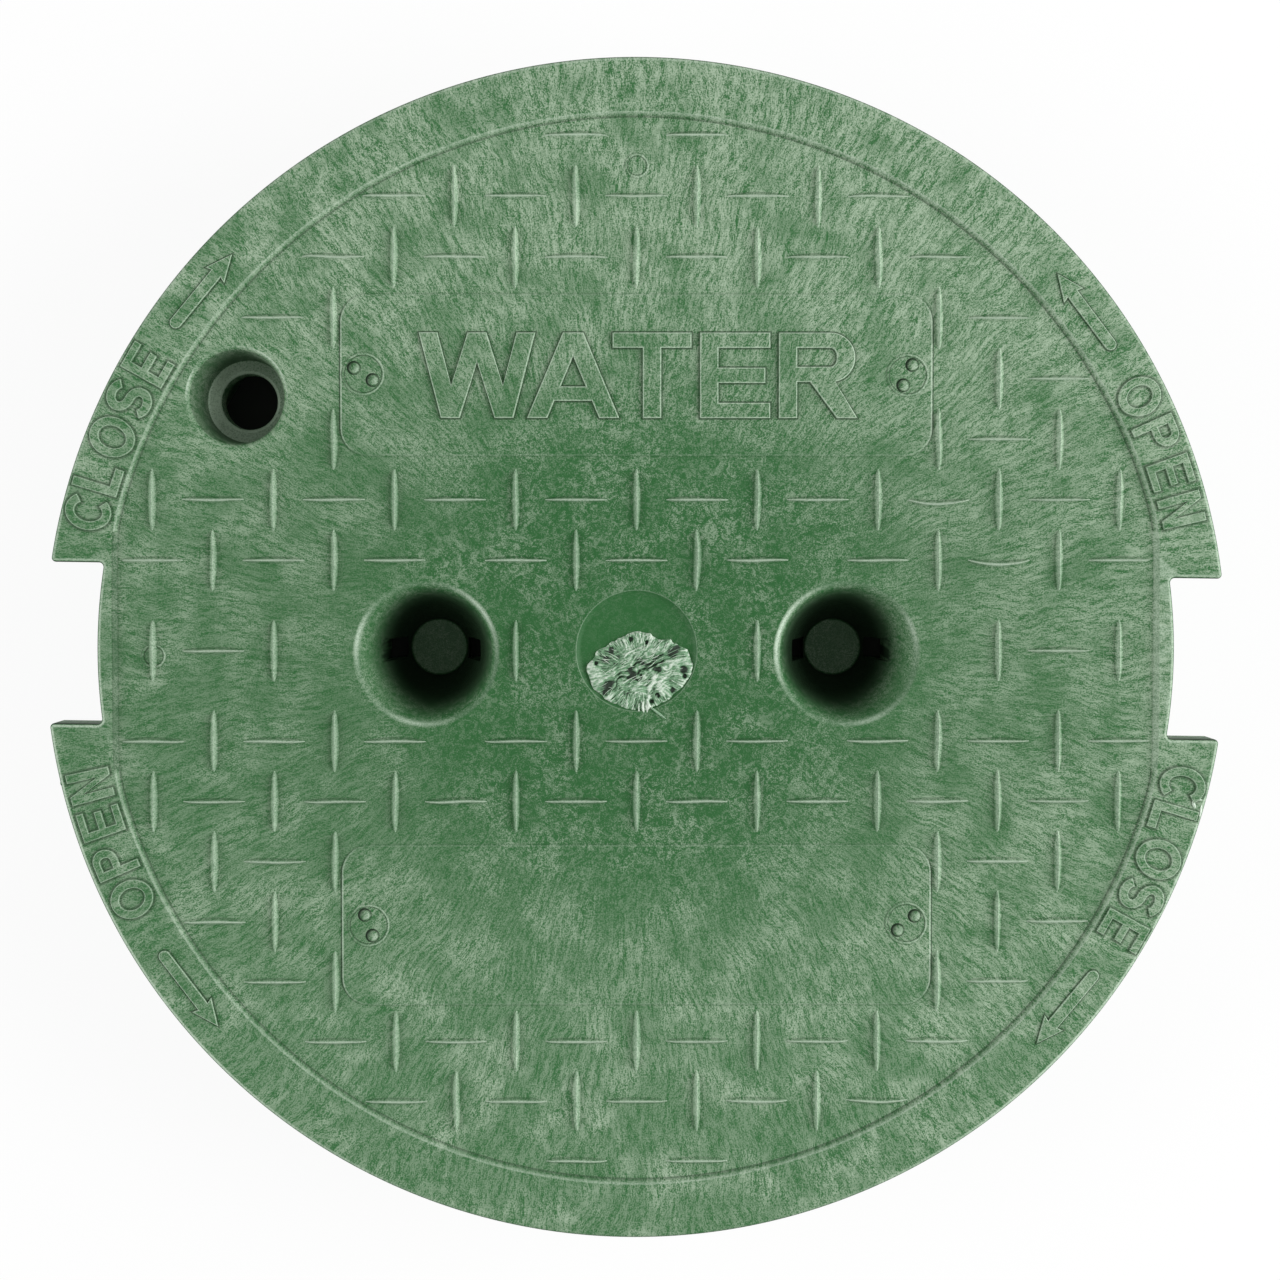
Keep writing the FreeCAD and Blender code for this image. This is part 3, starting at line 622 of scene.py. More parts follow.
def barSurface(b):  # width falls off as the square along the bar, the section is a blunt ridge, no two bars alike
    x, y, upright = barPlaces(b)
    luck = np.random.RandomState(11).normal(size=(4, len(x), 1, 1))
    s = np.linspace(-1, 1, b["along"])[None, :, None]
    t = np.array(b["section"])[None, None, :]
    half = (b["endWidth"] + (b["width"] - b["endWidth"]) * (1 - s ** 2)) / 2 * (1 + 0.05 * luck[0])
    endFall = 1 - np.abs(s) ** 9
    ridge = (1 - np.abs(t)) ** 1.45 * (1 + 0.04 * luck[1])
    ripple = 0.06 * luck[2] * np.sin(3.1 * s + 2 * luck[3])
    along = np.broadcast_to(s * b["length"] / 2, ridge.shape[:1] + (b["along"], len(b["section"])))
    sagging = sum(np.hypot(x - sx, y - sy) < 2 for sx, sy in b["sagging"])
    aside = half * t + ripple - b["sag"] * sagging[:, None, None] * (1 - s ** 2)
    high = rim["field"] - b["root"] + (b["height"] + b["root"]) * np.minimum(ridge * (0.12 + 0.88 * endFall), 0.995)
    turned = upright[:, None, None]
    points = np.stack([x[:, None, None] + np.where(turned, -aside, along),
                       y[:, None, None] + np.where(turned, along, aside), high], axis=-1)
    one = gridFaces(b["along"], len(b["section"]), False)[:, ::-1]
    faces = (one[None] + np.arange(len(x))[:, None, None] * points[0, ..., 0].size).reshape(-1, 4)
    # painted highlight on the upright bars' body and the level bars' crest, painted shade at the upright bars' feet and
    # on one flank of the level bars
    uprightPaintedLight = 0.5 * np.exp(-(t / 0.6) ** 2) - 0.45 * np.exp(-((np.abs(t) - 1) / 0.25) ** 2)
    levelPaintedLight = 1.5 * np.exp(-(t / 0.2) ** 2) - 0.25 * np.exp(-((t - 0.62) / 0.25) ** 2)
    paintedLightAndWhitening = np.broadcast_to(np.where(turned, uprightPaintedLight, levelPaintedLight) * (0.8 + 0.2 * endFall), high.shape)
    print(len(x), "tread bars")
    return points.reshape(-1, 3), faces, paintedLightAndWhitening.ravel()


makePiece("treadBars", [barSurface(bars)], mouldedGreen, 60)


# raised signs: an outline carried up from painted shade at its foot to a painted highlight on its bevel at its top,
# outer loops counter-clockwise and holes clockwise; ends is the share of painted light left where a side faces +Y or -Y
def raisedSurfaces(loops, ground, top, bevel, paintedLightAndWhitening=0.8, paintedShade=0.8, ends=1.0, foot=0.5):
    rise = top - ground
    down = min(bevel, 0.5 * rise)
    out = [foot, 0.6 * foot, 0.2 * foot, 0.02, 0, -0.35 * bevel, -bevel, -bevel - 0.02]
    z = [ground - 0.02, ground + 0.02, ground + 0.05, ground + 0.3 * rise, top - down, top - 0.3 * down, top, top]
    # painted shade at the foot, painted highlight on the bevel
    whiteningAndPaintedLight = np.array([0, -0.5 * paintedShade, -paintedShade, -0.4 * paintedShade, 0.2 * paintedLightAndWhitening, paintedLightAndWhitening, 0.6 * paintedLightAndWhitening, 0])
    surfaces, inner = [], []
    for loop in loops:
        normals = outwardNormals(loop)
        share = 1 - (1 - ends) * np.clip(np.abs(normals[:, 1]), 0, 1)
        surface = carriedSurface(loop, normals, out, z, whiteningAndPaintedLight[:, None] * share)
        surfaces.append(surface)
        inner.append(surface[0].reshape(len(z), -1, 3)[-1, :, :2])
    return surfaces + [flatSurface(inner, top)]


def roundedRectangle(width, height, corner, centre):  # a quarter circle turned and set at each corner
    quarter = rays(np.linspace(0, math.pi / 2, 9)) * corner
    sides = []
    for i, (sx, sy) in enumerate(((1, 1), (-1, 1), (-1, -1), (1, -1))):
        spin = turnMatrix(i * math.pi / 2)
        sides.append(quarter @ spin + [sx * (width / 2 - corner), sy * (height / 2 - corner)])
    return np.concatenate(sides) + centre


plates, plateTop = [], rim["field"] + label["rise"]
for way in (1, -1):
    loop = roundedRectangle(label["length"], label["width"], label["corner"], (0, way * label["offset"]))
    plates += raisedSurfaces([loop], rim["field"], plateTop, label["edge"],
                             label["paintedLightAndWhitening"], label["paintedShade"], label["ends"])
makePiece("labelPlates", plates, mouldedGreen)


# letters: outlines on a unit cap height, w the letter's width, s its stroke
def ccw(loop):  # an outline turned to run counter-clockwise
    loop = np.asarray(loop, float)
    x, y = loop.T
    return loop if (x * np.roll(y, -1) - y * np.roll(x, -1)).sum() > 0 else loop[::-1]


def arcRun(x, y, rx, ry, start, end, count=22):  # elliptical run between two angles in degrees
    return np.array([x, y]) + np.array([rx, ry]) * rays(np.radians(np.linspace(start, end, count)))


def strokeLoop(line, s):  # a centre line thickened by half the stroke on each side
    ahead = np.gradient(line, axis=0)
    side = pairs(-ahead[:, 1], ahead[:, 0]) / np.linalg.norm(ahead, axis=1, keepdims=True)
    return ccw(np.concatenate([line + side * s / 2, (line - side * s / 2)[::-1]]))


def letterC(w, s):
    return [ccw(np.concatenate([arcRun(w / 2, 0.5, w / 2, 0.5, 42, 318, 40),
                                arcRun(w / 2, 0.5, w / 2 - s, 0.5 - s, 318, 42, 40)]))]


def letterO(w, s):
    return [arcRun(w / 2, 0.5, w / 2, 0.5, 0, 360, 49)[:-1],
            arcRun(w / 2, 0.5, w / 2 - s, 0.5 - s, 360, 0, 49)[:-1]]


def letterS(w, s):
    ry = (1 - s) / 4
    upper = arcRun(w / 2, 1 - s / 2 - ry, (w - s) / 2, ry, 28, 270, 26)
    lower = arcRun(w / 2, s / 2 + ry, (w - s) / 2, ry, 90, -152, 26)
    return [strokeLoop(np.concatenate([upper, lower[1:]]), s)]


def letterL(w, s):
    return [ccw([(0, 0), (w, 0), (w, s), (s, s), (s, 1), (0, 1)])]


def letterE(w, s):
    bar = 0.85 * s
    low, high = 0.5 - bar / 2, 0.5 + bar / 2
    return [ccw([(0, 0), (w, 0), (w, bar), (s, bar), (s, low), (0.93 * w, low), (0.93 * w, high), (s, high),
                 (s, 1 - bar), (w, 1 - bar), (w, 1), (0, 1)])]


def letterN(w, s):
    return [ccw([(0, 0), (s, 0), (s, 0.7), (w - s, 0), (w, 0), (w, 1), (w - s, 1), (w - s, 0.3), (s, 1), (0, 1)])]


def letterP(w, s, foot=0.42):
    bar, r = 0.85 * s, (1 - foot) / 2
    bowl = arcRun(w - r, 1 - r, r, r, -90, 90)
    hollow = arcRun(w - r, 1 - r, r - s, r - bar, 90, -90)
    outer = np.concatenate([[(0, 0), (s, 0), (s, foot)], bowl, [(0, 1)]])
    return [ccw(outer), ccw(np.concatenate([[(s, foot + bar), (s, 1 - bar)], hollow]))[::-1]]


def letterR(w, s, foot=0.42):
    outer, hollow = letterP(0.97 * w, s, foot)
    leg = [(0.40 * w, foot), (w - 1.12 * s, 0), (w, 0), (0.44 * w + 1.12 * s, foot + 0.03)]
    return [np.concatenate([outer[:3], leg, outer[4:]]), hollow]


def letterT(w, s):
    bar, left, right = 0.85 * s, (w - s) / 2, (w + s) / 2
    return [ccw([(left, 0), (right, 0), (right, 1 - bar), (w, 1 - bar), (w, 1), (0, 1), (0, 1 - bar), (left, 1 - bar)])]


def letterA(w, s):
    h, low = 1.1 * s, 0.2
    lean = w / 2 - h / 2
    high = low + 0.8 * s
    at = lambda y: h + y * lean
    outer = [(0, 0), (h, 0), (at(low), low), (w - at(low), low), (w - h, 0), (w, 0),
             (w / 2 + h / 2, 1), (w / 2 - h / 2, 1)]
    hollow = [(at(high), high), (w - at(high), high), (w / 2, (w / 2 - h) / lean)]
    return [ccw(outer), ccw(hollow)[::-1]]


def letterW(w, s):
    h, foot = 1.02 * s, 0.27 * w
    deep = (w / 2 - 1.5 * h) / (w / 2 - h / 2)
    left = [(w / 2 - h / 2, 1), (h + deep * (foot - h / 2), 1 - deep), (h, 1), (0, 1),
            (foot - h / 2, 0), (foot + h / 2, 0)]
    peak = (w / 2, (w / 2 - foot - h / 2) / (w / 2 - foot))
    right = [(w - x, y) for x, y in left[::-1]]
    return [ccw(left + [peak] + right)]


def wordLoops(glyphs, stroke, gaps):  # letters side by side with the gap after each, centred on x = 0
    total = sum(w for _, w in glyphs) + sum(gaps[:-1])
    at, letters = -total / 2, []
    for (glyph, w), gap in zip(glyphs, gaps):
        letters.append([loop + [at, 0] for loop in glyph(w, stroke)])
        at += w + gap
    return letters


plateWord = {"cap": 20.2, "stroke": 0.215, "gaps": [-0.1, -0.08, 0.1, 0.1, 0], "place": [0.4, 54.9], "top": 38.05,
             "bevel": 0.3,
             "glyphs": [(letterW, 1.36), (letterA, 1.08), (letterT, 0.92), (letterE, 0.82), (letterR, 0.92)]}
wordParts = []
for loops in wordLoops(plateWord["glyphs"], plateWord["stroke"], plateWord["gaps"]):
    placed = [loop * plateWord["cap"] + plateWord["place"] for loop in loops]
    wordParts += raisedSurfaces(placed, plateTop, plateWord["top"], plateWord["bevel"])
makePiece("plateWord", wordParts, mouldedGreen)


# turning words and arrows on the flange, each twice, half a turn apart
# the words' and arrows' bevels get painted highlight and their feet painted shade
turning = {"stroke": 0.195, "base": 127.7, "top": 38.6, "bevel": 0.22, "paintedLightAndWhitening": 0.6, "paintedShade": 0.6, "foot": 0.9,
           "close": (157.88, 158.33), "closeCap": 10.9, "closeGaps": [0.05, 0.18, 0.125, 0.18, 0],
           "open": (20.87, 20.21), "openCap": 10.3, "openGaps": [0.18, 0.265, 0.21, 0],
           "closeGlyphs": [(letterC, 0.81), (letterL, 0.62), (letterO, 0.86), (letterS, 0.69), (letterE, 0.615)],
           "openGlyphs": [(letterO, 0.88), (letterP, 0.68), (letterE, 0.65), (letterN, 0.7)],
           "arrowReach": 132.6, "closeArrow": 140.3, "openArrow": 37.1, "arrowLength": 22.2, "shaft": 2.8,
           "head": 5.7, "headLength": 5.9, "barb": 0.5}


def bentLoops(loops, base, cap, angle):  # x runs clockwise round the flange, y outwards
    bent = []
    for loop in loops:
        reach = base + loop[:, 1] * cap
        turn = math.radians(angle) - loop[:, 0] * cap / (base + cap / 2)
        bent.append(reach[:, None] * rays(turn))
    return bent


def arrowLoop(t, angle, way):  # a straight arrow across the radius, way 1 points clockwise
    half, tail, wing = t["arrowLength"] / 2, t["shaft"] / 2, t["head"] / 2
    neck = half - t["headLength"]
    back = neck - t["barb"]
    end = arcRun(-half + tail, 0, tail, tail, 90, 270, 9)
    loop = np.concatenate([end, [(neck, -tail), (back, -wing), (half, 0), (back, wing), (neck, tail)]])
    a = math.radians(angle)
    ahead = way * np.array([math.sin(a), -math.cos(a)])
    out = np.array([math.cos(a), math.sin(a)])
    return ccw(t["arrowReach"] * out + loop[:, :1] * ahead + loop[:, 1:] * out)


turnParts, arrowParts = [], []
for half in (0, 180):
    for word in ("close", "open"):
        angle = turning[word][half // 180] + half
        for loops in wordLoops(turning[word + "Glyphs"], turning["stroke"], turning[word + "Gaps"]):
            bent = bentLoops(loops, turning["base"], turning[word + "Cap"], angle)
            turnParts += raisedSurfaces(bent, flange["top"], turning["top"], turning["bevel"],
                                        turning["paintedLightAndWhitening"], turning["paintedShade"], foot=turning["foot"])
    for angle, way in ((turning["closeArrow"], 1), (turning["openArrow"], -1)):
        arrow = arrowLoop(turning, angle + half, way)
        arrowParts += raisedSurfaces([arrow], flange["top"], turning["top"], turning["bevel"])
edgeRound = flange["edgeRound"]
for points, _, _ in turnParts:  # the words follow the flange's rounding: r - sqrt(r^2 - over^2) down
    over = np.clip(np.hypot(points[:, 0], points[:, 1]) - flange["radius"] + edgeRound, 0, edgeRound)
    points[:, 2] -= edgeRound - np.sqrt(edgeRound ** 2 - over ** 2)
makePiece("turnWords", turnParts, mouldedGreen)
makePiece("turnArrows", arrowParts, mouldedGreen)


# insert marks on the plates: a fine ring with two pips, and two small ejector rings on the field
marks = {"ring": 4.75, "ringWidth": 0.5, "ringRise": 0.16, "pip": 2.62, "pipRise": 0.3, "sink": 0.02,
         "ringShade": ([-0.5, -0.1, 0, -0.2, -1], [0, 0.3, 0.7, 0.2, 0]),  # painted shade and highlight all round, and more painted highlight on the right
         "pipShade": ([-0.2, -0.8, -1, -0.4, 0.05, 0.1, 0.1], [0.1, 0.3, 0.4, 0.5, 0.6, 0.35, 0]),
         "inserts": [(-64.4, 65.3, -33), (64.0, 65.1, 66), (-63.5, -65.1, -70), (64.0, -64.7, 40)],
         "ejectors": [(0.1, 114.3, 2.6), (-114.1, -1.2, 2.6)]}


def markSurfaces(m):  # turned profiles whose painted light is an even part plus a part times the side that faces the light
    def ring(x, y, radius, base):
        w, rise = m["ringWidth"], m["ringRise"]
        profile = [(radius + w, base - m["sink"]), (radius + 0.4 * w, base + 0.8 * rise), (radius, base + rise),
                   (radius - 0.4 * w, base + 0.8 * rise), (radius - w, base - m["sink"])]
        side = 0.55 + 0.45 * np.cos(arcSteps(0, 2 * np.pi, 48))
        even, lit = np.array(m["ringShade"])[..., None]
        return latheSurface(profile, (x, y), 48, even + lit * side)

    def pip(x, y):
        z, rise = plateTop, m["pipRise"]
        profile = [(1.75, z - m["sink"]), (1.6, z + 0.03), (1.4, z + 0.02), (1.25, z + 0.5 * rise),
                   (0.95, z + 0.85 * rise), (0.5, z + rise), (0, z + rise)]
        side = np.cos(arcSteps(0, 2 * np.pi, 28) + 0.4)
        even, lit = np.array(m["pipShade"])[..., None]
        return latheSurface(profile, (x, y), 28, even + lit * side)

    surfaces = []
    for x, y, tilt in m["inserts"]:
        dx, dy = m["pip"] * math.cos(math.radians(tilt)), m["pip"] * math.sin(math.radians(tilt))
        surfaces += [ring(x, y, m["ring"], plateTop), pip(x + dx, y + dy), pip(x - dx, y - dy)]
    return surfaces + [ring(x, y, radius, rim["field"]) for x, y, radius in m["ejectors"]]


makePiece("insertMarks", markSurfaces(marks), mouldedGreen)


# torn gate: a fringe of short fibres round a drawn middle, two clefts, pits, pale strands and a short tail
gate = {"x": 0.6, "y": -4.6, "floor": 36.3, "height": 1.5, "rows": 80, "columns": 512,
        "edge": [13.0, 12.4, 10.4, 8.7, 9.1, 9.1, 8.7, 9.4, 11.0, 12.5, 11.8, 10.6, 9.9, 9.6, 9.7, 9.7, 10.1, 11.2],
        "lanes": 220, "fringe": 0.36, "run": (0.9, 0.42), "tail": (4.2, 1.6, 0.207),
        "clefts": [(0.51, 1.0, 0.7), (0.44, -0.9, 0.3)],
        "pits": [(-7.3, -3.6, 1.0), (-8.1, -5.4, 0.7), (-1.6, -1.0, 0.7), (4.4, 0.2, 0.9), (7.9, 4.0, 1.0),
                 (9.0, 5.3, 0.6), (-2.0, 7.3, 0.45), (1.8, 6.6, 0.4), (-6.6, 4.7, 0.55), (-7.9, 2.6, 0.5),
                 (-10.2, 1.6, 0.4), (10.5, 0.2, 0.7), (10.8, -1.4, 0.5), (7.9, -4.8, 0.5), (4.4, -5.9, 0.5),
                 (2.9, -7.4, 0.6)],
        "strands": 110, "strandThick": (0.05, 0.1), "strandPale": (0.45, 0.9),
        "threads": [(1.6, -12.0, 37.6, 1.2, -13.6, 37.5, 2.0, -15.2, 36.6, 0.28, 0.95),  # from, bend, to, radius, pale
                    (2.4, -12.2, 37.5, 2.8, -13.8, 37.3, 2.2, -15.6, 36.6, 0.18, 0.8),
                    (0.6, -12.4, 37.5, 0.4, -14.0, 37.3, 0.7, -15.0, 36.6, 0.16, 0.8),
                    (2.8, -13.0, 37.4, 5.0, -14.6, 37.3, 7.0, -16.2, 37.15, 0.3, 0.5)]}


def gateEdge(g, turn):  # reach every twenty degrees, joined by a raised cosine, with small nicks
    stops = np.mod(turn, 2 * np.pi) * len(g["edge"]) / (2 * np.pi)
    before = stops.astype(int) % len(g["edge"])
    part = 0.5 - 0.5 * np.cos(np.pi * (stops - np.floor(stops)))
    edge = np.array(g["edge"])
    nicks = softNoise(turn * 64 / (2 * np.pi), np.zeros_like(turn), 5) - 0.5
    return (edge[before] * (1 - part) + edge[(before + 1) % len(edge)] * part) * (1 + 0.05 * nicks)


def gateSurface(g):  # height: a steep edge, fringe fibres outside, drawn fibres inside, less the clefts and the pits
    turn = arcSteps(0, 2 * np.pi, g["columns"])[None]
    depth = np.linspace(0, 1, g["rows"])[:, None] ** 0.8
    reach = gateEdge(g, turn) * (1 - depth)
    x, y = reach * np.cos(turn), reach * np.sin(turn)
    bend = softNoise(x / 2.2 + 20, y / 2.2 + 20, 3) - 0.5
    fringe = np.exp(-(depth / g["fringe"]) ** 2 * (0.6 + 0.8 * softNoise(x / 3 + 10, y / 3 + 10, 4)))
    lane = turn * g["lanes"] / (2 * np.pi) + 2.4 * bend
    outer = 0.6 * softNoise(lane, depth * 9, 7) + 0.4 * softNoise(2 * lane, depth * 16, 8)
    rx, ry = g["run"]
    across, along = rx * y - ry * x + 1.3 * bend, rx * x + ry * y
    inner = 0.5 * softNoise(across / 0.36 + 32, along / 1.5 + 32, 13)
    inner += 0.5 * softNoise(across / 0.22, along / 0.6, 14)
    fibre = fringe * outer + (1 - fringe) * inner - 0.5
    lump = softNoise(x / 2.6 + 30, y / 2.6 + 30, 9) - 0.5
    middle = np.clip(1.25 - np.hypot(x / 9.5, y / 8.5), 0, 1)
    cleft = middle * sum(np.exp(-((y - slope * x - lift + 3 * bend) / wide) ** 2)
                         for slope, lift, wide in g["clefts"])
    tailX, tailY, lean = g["tail"]
    tail = np.exp(-((x - tailX + lean * (tailY - y) + bend) / 0.45) ** 2) * (y < tailY)
    pit = sum(np.exp(-((x - px) ** 2 + (y - py) ** 2) / r ** 2) for px, py, r in g["pits"])
    pit = np.clip(pit, 0, 1)
    wall = np.clip(depth / 0.06, 0, 1) ** 0.6
    rough = 0.66 + 0.45 * fibre + 0.6 * lump + 0.2 * tail - 0.5 * cleft - 0.9 * pit
    z = g["floor"] - 0.05 + wall * np.clip(g["height"] * rough, 0.1, None)
    # pale: whitening of drawn plastic; the clefts and pits are painted darker as shade
    pale = 0.5 + 1.15 * fibre + 0.35 * np.exp(-depth / 0.05) + 0.5 * tail - 0.45 * cleft - 1.3 * pit + 0.5 * lump
    points = np.stack([g["x"] + x, g["y"] + y, z], axis=-1)
    return gridSurface(points, True, np.clip(pale, 0, 1))


def strandSurface(starts, bends, ends, radius, pale):  # thin tapered tubes along bent lines, all at once
    along, around = 9, 6
    s = np.linspace(0, 1, along)[None, :, None]
    line = (1 - s) ** 2 * starts[:, None] + 2 * s * (1 - s) * bends[:, None] + s ** 2 * ends[:, None]
    ahead = np.gradient(line, axis=1)
    side = np.stack([-ahead[..., 1], ahead[..., 0], np.zeros(ahead.shape[:2])], axis=-1)
    side /= np.linalg.norm(side, axis=-1, keepdims=True) + 1e-9
    thick = (radius[:, None] * np.sin(np.pi * (0.06 + 0.88 * s[..., 0])) ** 0.7)[..., None, None]
    turn = arcSteps(0, 2 * np.pi, around)[:, None]
    tube = line[:, :, None] + thick * (side[:, :, None] * np.cos(turn) + np.array([0, 0, 1.0]) * np.sin(turn))
    one = gridFaces(along, around, True)[None]
    faces = (one + np.arange(len(starts))[:, None, None] * along * around).reshape(-1, 4)
    return tube.reshape(-1, 3), faces, np.repeat(pale, along * around)


def gateStrands(g):  # strands cross the middle along its run or stand out through the fringe
    luck = np.random.RandomState(23)
    count = g["strands"]
    turn, share = luck.rand(count) * 2 * np.pi, 0.85 * np.sqrt(luck.rand(count))
    ray = rays(turn)
    spot = (share * gateEdge(g, turn))[:, None] * ray
    run = np.where(share[:, None] > 0.6, ray, g["run"]) * luck.uniform(0.5, 1.7, (count, 1))
    run += luck.normal(0, 0.25, (count, 2))
    high = g["floor"] + g["height"] * luck.uniform(0.55, 0.85, count)

    def placed(xy, z):
        reach = np.maximum(np.linalg.norm(xy, axis=1), 1e-6)
        room = 0.97 * gateEdge(g, np.arctan2(xy[:, 1], xy[:, 0])) / reach
        return np.column_stack([xy * np.minimum(room, 1)[:, None] + [g["x"], g["y"]], z])

    bow = luck.normal(0, 0.3, (count, 2))
    return strandSurface(placed(spot - run, high - 0.1), placed(spot + bow, high + 0.25),
                         placed(spot + run, high - 0.15), luck.uniform(*g["strandThick"], count),
                         luck.uniform(*g["strandPale"], count))


def gateTail(g):  # drawn threads that hang from the lower edge of the gate
    rows = np.array(g["threads"])
    return strandSurface(rows[:, 0:3], rows[:, 3:6], rows[:, 6:9], rows[:, 9], rows[:, 10])


torn = {"dark": (14, 36, 18), "mid": (98, 140, 103), "pale": (206, 219, 204), "midFrom": (0.0, 0.4),
        "paleFrom": (0.35, 0.95), "grain": 0.5, "roughness": 0.6, "bump": 0.5, "bumpDepth": 0.1}


def tornMaterial(name, t):  # stretched plastic: pale where it is drawn thin, painted shade in the pits
    material, tree, shader = newMaterial(name)
    pale = addNode(tree, "ShaderNodeAttribute", attribute_name="whiteningAndPaintedLight").outputs["Fac"]
    grain = addNode(tree, "ShaderNodeGroup", node_tree=flowStreaks).outputs["Grain"]
    speck = mathNode(tree, "MULTIPLY", mathNode(tree, "SUBTRACT", grain, 0.5), t["grain"])
    pale = mathNode(tree, "ADD", pale, speck, clamp=True)
    colour = mixNode(tree, rangeNode(tree, pale, *t["midFrom"]), linear(*t["dark"]), linear(*t["mid"]))
    colour = mixNode(tree, rangeNode(tree, pale, *t["paleFrom"]), colour, linear(*t["pale"]))
    setInputs(tree, shader, {
        "Base Color": colour, "Roughness": t["roughness"], "Normal": bumpNode(tree, t, grain)})
    return material


tornGreen = tornMaterial("tornGreen", torn)
makePiece("gateStub", [gateSurface(gate)], tornGreen, 75)
makePiece("gateStrands", [gateStrands(gate), gateTail(gate)], tornGreen, 75)


# torn bits on the flange's edge, each (x0, y0, x1, y1, radius, pale)
edgeTear = {"edge": 138.8, "z": 38.0, "fall": 0.8, "bow": [0.1, 0, 0.1],
            "bits": [(133.9, -36.5, 133.2, -40.0, 0.34, 0.95), (131.7, -35.5, 132.3, -37.5, 0.45, 0.75),
                     (132.7, -38.6, 133.3, -40.8, 0.3, 0), (131.6, -38.0, 132.1, -39.9, 0.38, 0.7),
                     (132.1, -35.1, 134.0, -35.4, 0.36, 0.7), (-136.0, -30.6, -135.6, -32.0, 0.45, 0.2)]}


def edgeTearSurface(e):  # short strands that follow the fall of the edge
    bits = np.array(e["bits"])

    def laid(xy):
        return np.column_stack([xy, e["z"] - e["fall"] * np.maximum(np.hypot(xy[:, 0], xy[:, 1]) - e["edge"], 0)])

    starts, ends = laid(bits[:, :2]), laid(bits[:, 2:4])
    return strandSurface(starts, (starts + ends) / 2 + e["bow"], ends, bits[:, 4], bits[:, 5])


makePiece("edgeTear", [edgeTearSurface(edgeTear)], tornGreen, 75)


# skirt and underside: drafted wall, plate with its ribs, hub and cup bosses
under = {"plate": 29.1, "foot": 0.0, "skirtTop": 127.3, "skirtFoot": 125.1, "wall": 4.5, "footRound": 0.8,
         "hub": 23.0, "hubWall": 3.6, "ribs": 8, "ribThick": 3.6, "ribFoot": 13.1, "ribLap": 1.0, "edge": 0.6,
         "steps": 240}


def skirtSurface(u):  # from the plate's underside down the inside, round the foot, and up the drafted outside
    r = u["footRound"]
    swing = np.linspace(0, math.pi / 2, 6)
    innerTop, innerFoot = u["skirtTop"] - u["wall"], u["skirtFoot"] - u["wall"]
    inside = pairs(innerFoot + r * (1 - np.cos(swing)), u["foot"] + r * (1 - np.sin(swing)))
    outside = pairs(u["skirtFoot"] - r * (1 - np.sin(swing)), u["foot"] + r * (1 - np.cos(swing)))
    profile = np.concatenate([[(innerTop, u["plate"])], inside, outside, [(u["skirtTop"], flange["underside"])]])
    return latheSurface(profile, (0, 0), u["steps"])


def hubSurface(u):  # a ring wall with bevelled foot, turned round the middle
    e = u["edge"]
    inner = u["hub"] - u["hubWall"]
    profile = [(inner, u["plate"]), (inner, u["ribFoot"] + e), (inner + e, u["ribFoot"]), (u["hub"] - e, u["ribFoot"]),
               (u["hub"], u["ribFoot"] + e), (u["hub"], u["plate"])]
    return latheSurface(profile, (0, 0), 96)


def ribSurface(u):  # the ribs' blunt section carried outwards from the hub to the skirt
    e, half = u["edge"], u["ribThick"] / 2
    t = np.array([half, half, half - e, e - half, -half, -half])
    z = np.array([u["plate"], u["ribFoot"] + e, u["ribFoot"], u["ribFoot"], u["ribFoot"] + e, u["plate"]])
    run = np.linspace(u["hub"] - u["ribLap"], u["skirtTop"] - u["wall"] + u["ribLap"], 12)
    turn = (np.arange(u["ribs"]) + 0.5) * 2 * math.pi / u["ribs"]
    surfaces = []
    for a in turn:
        x = run[None] * math.cos(a) - t[:, None] * math.sin(a)
        y = run[None] * math.sin(a) + t[:, None] * math.cos(a)
        grid = np.stack([x, y, np.broadcast_to(z[:, None], x.shape)], axis=-1)
        surfaces.append(gridSurface(grid, False))
    return surfaces


boltBoss = circleLoop(bolt["x"], bolt["y"], bolt["boss"], bolt["steps"])
plateEdge = circleLoop(0, 0, under["skirtTop"] - under["wall"], under["steps"])
plateFace = flatSurface([plateEdge, cupParts[-1][2], cupParts[1][2], boltBoss], under["plate"], -1)
makePiece("skirt", [skirtSurface(under)], mouldedGreen)
makePiece("underside", [plateFace, hubSurface(under)] + ribSurface(under), mouldedGreen)


# stage: pale floor and soft lights from the left and the right
stage = {"floor": 4.0, "floorColour": (0.86, 0.86, 0.86, 1), "shadeUnderCover": (0.04, 0.05, 0.04, 1), "roughness": 0.9,
         "floorGlow": 0.9, "whiteFrom": (0.35, 1.0), "footprint": 0.1243, "world": 0.36,
         "lamps": [(-1, 12.5), (1, 22.5)], "lampX": 1.2, "lampZ": 0.6, "lampSize": (0.8, 0.9)}


def seenDirectly(tree):  # one for rays from the camera, in mirrors and through glass
    ray = addNode(tree, "ShaderNodeLightPath").outputs
    through = mathNode(tree, "MAXIMUM", ray["Is Glossy Ray"], ray["Is Transmission Ray"])
    return mathNode(tree, "MAXIMUM", ray["Is Camera Ray"], through)


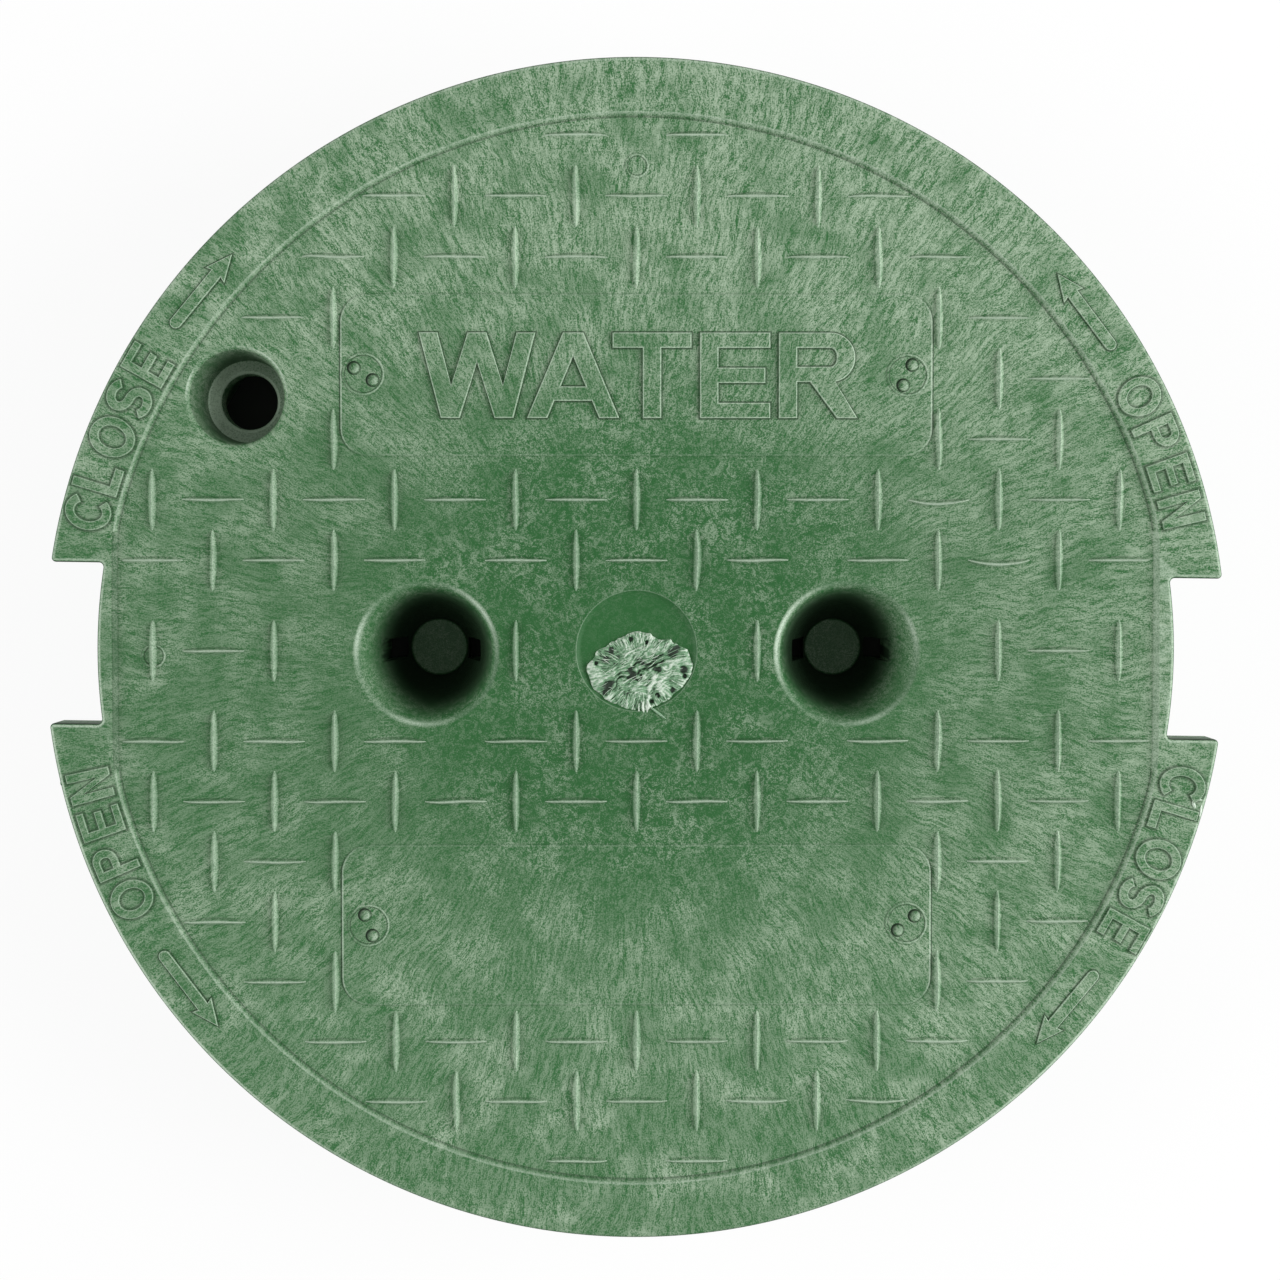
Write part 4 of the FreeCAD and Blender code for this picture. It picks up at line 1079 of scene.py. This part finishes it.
def setStage(s):  # sizes in metres; the floor glows white where it is seen, and keeps the cover's shadow
    mesh = bpy.data.meshes.new("floor")
    r = s["floor"] / 2
    mesh.from_pydata([(-r, -r, 0), (r, -r, 0), (r, r, 0), (-r, r, 0)], [], [(0, 1, 2, 3)])
    material, tree, shader = newMaterial("paleFloor")
    glow = addNode(tree, "ShaderNodeEmission", inputs={"Color": (1, 1, 1, 1), "Strength": 1.0})
    place = addNode(tree, "ShaderNodeTexCoord").outputs["Object"]
    away = vectorNode(tree, "LENGTH", place)
    outside = mathNode(tree, "GREATER_THAN", away, s["footprint"])  # under the cover the floor is painted dark as shade
    setInputs(tree, shader, {
        "Base Color": mixNode(tree, outside, s["shadeUnderCover"], s["floorColour"]), "Roughness": s["roughness"]})
    share = mathNode(tree, "MULTIPLY", mathNode(tree, "MULTIPLY", seenDirectly(tree), outside),
                     rangeNode(tree, away, *s["whiteFrom"], s["floorGlow"], 1.0))
    mix = addNode(tree, "ShaderNodeMixShader", inputs={0: share, 1: shader.outputs[0], 2: glow.outputs[0]})
    tree.links.new(mix.outputs[0], tree.nodes["Material Output"].inputs["Surface"])
    mesh.materials.append(material)
    floor = bpy.data.objects.new("floor", mesh)
    bpy.context.scene.collection.objects.link(floor)
    world = bpy.data.worlds.new("studio")
    bpy.context.scene.world = world
    world.use_nodes = True
    tree = world.node_tree
    setInputs(tree, tree.nodes["Background"], {
        "Color": (1, 1, 1, 1), "Strength": mathNode(tree, "MAXIMUM", seenDirectly(tree), s["world"])})
    for way, power in s["lamps"]:
        lamp = bpy.data.lights.new("sideLamp", "AREA")
        lamp.shape = "RECTANGLE"
        lamp.size, lamp.size_y = s["lampSize"]
        lamp.energy = power
        obj = bpy.data.objects.new("sideLamp", lamp)
        obj.location = (way * s["lampX"], 0, s["lampZ"])
        obj.rotation_euler = (0, way * math.atan2(s["lampX"], s["lampZ"]), 0)
        bpy.context.scene.collection.objects.link(obj)


setStage(stage)
bpy.context.scene.view_settings.view_transform = "Standard"
print("stage set")
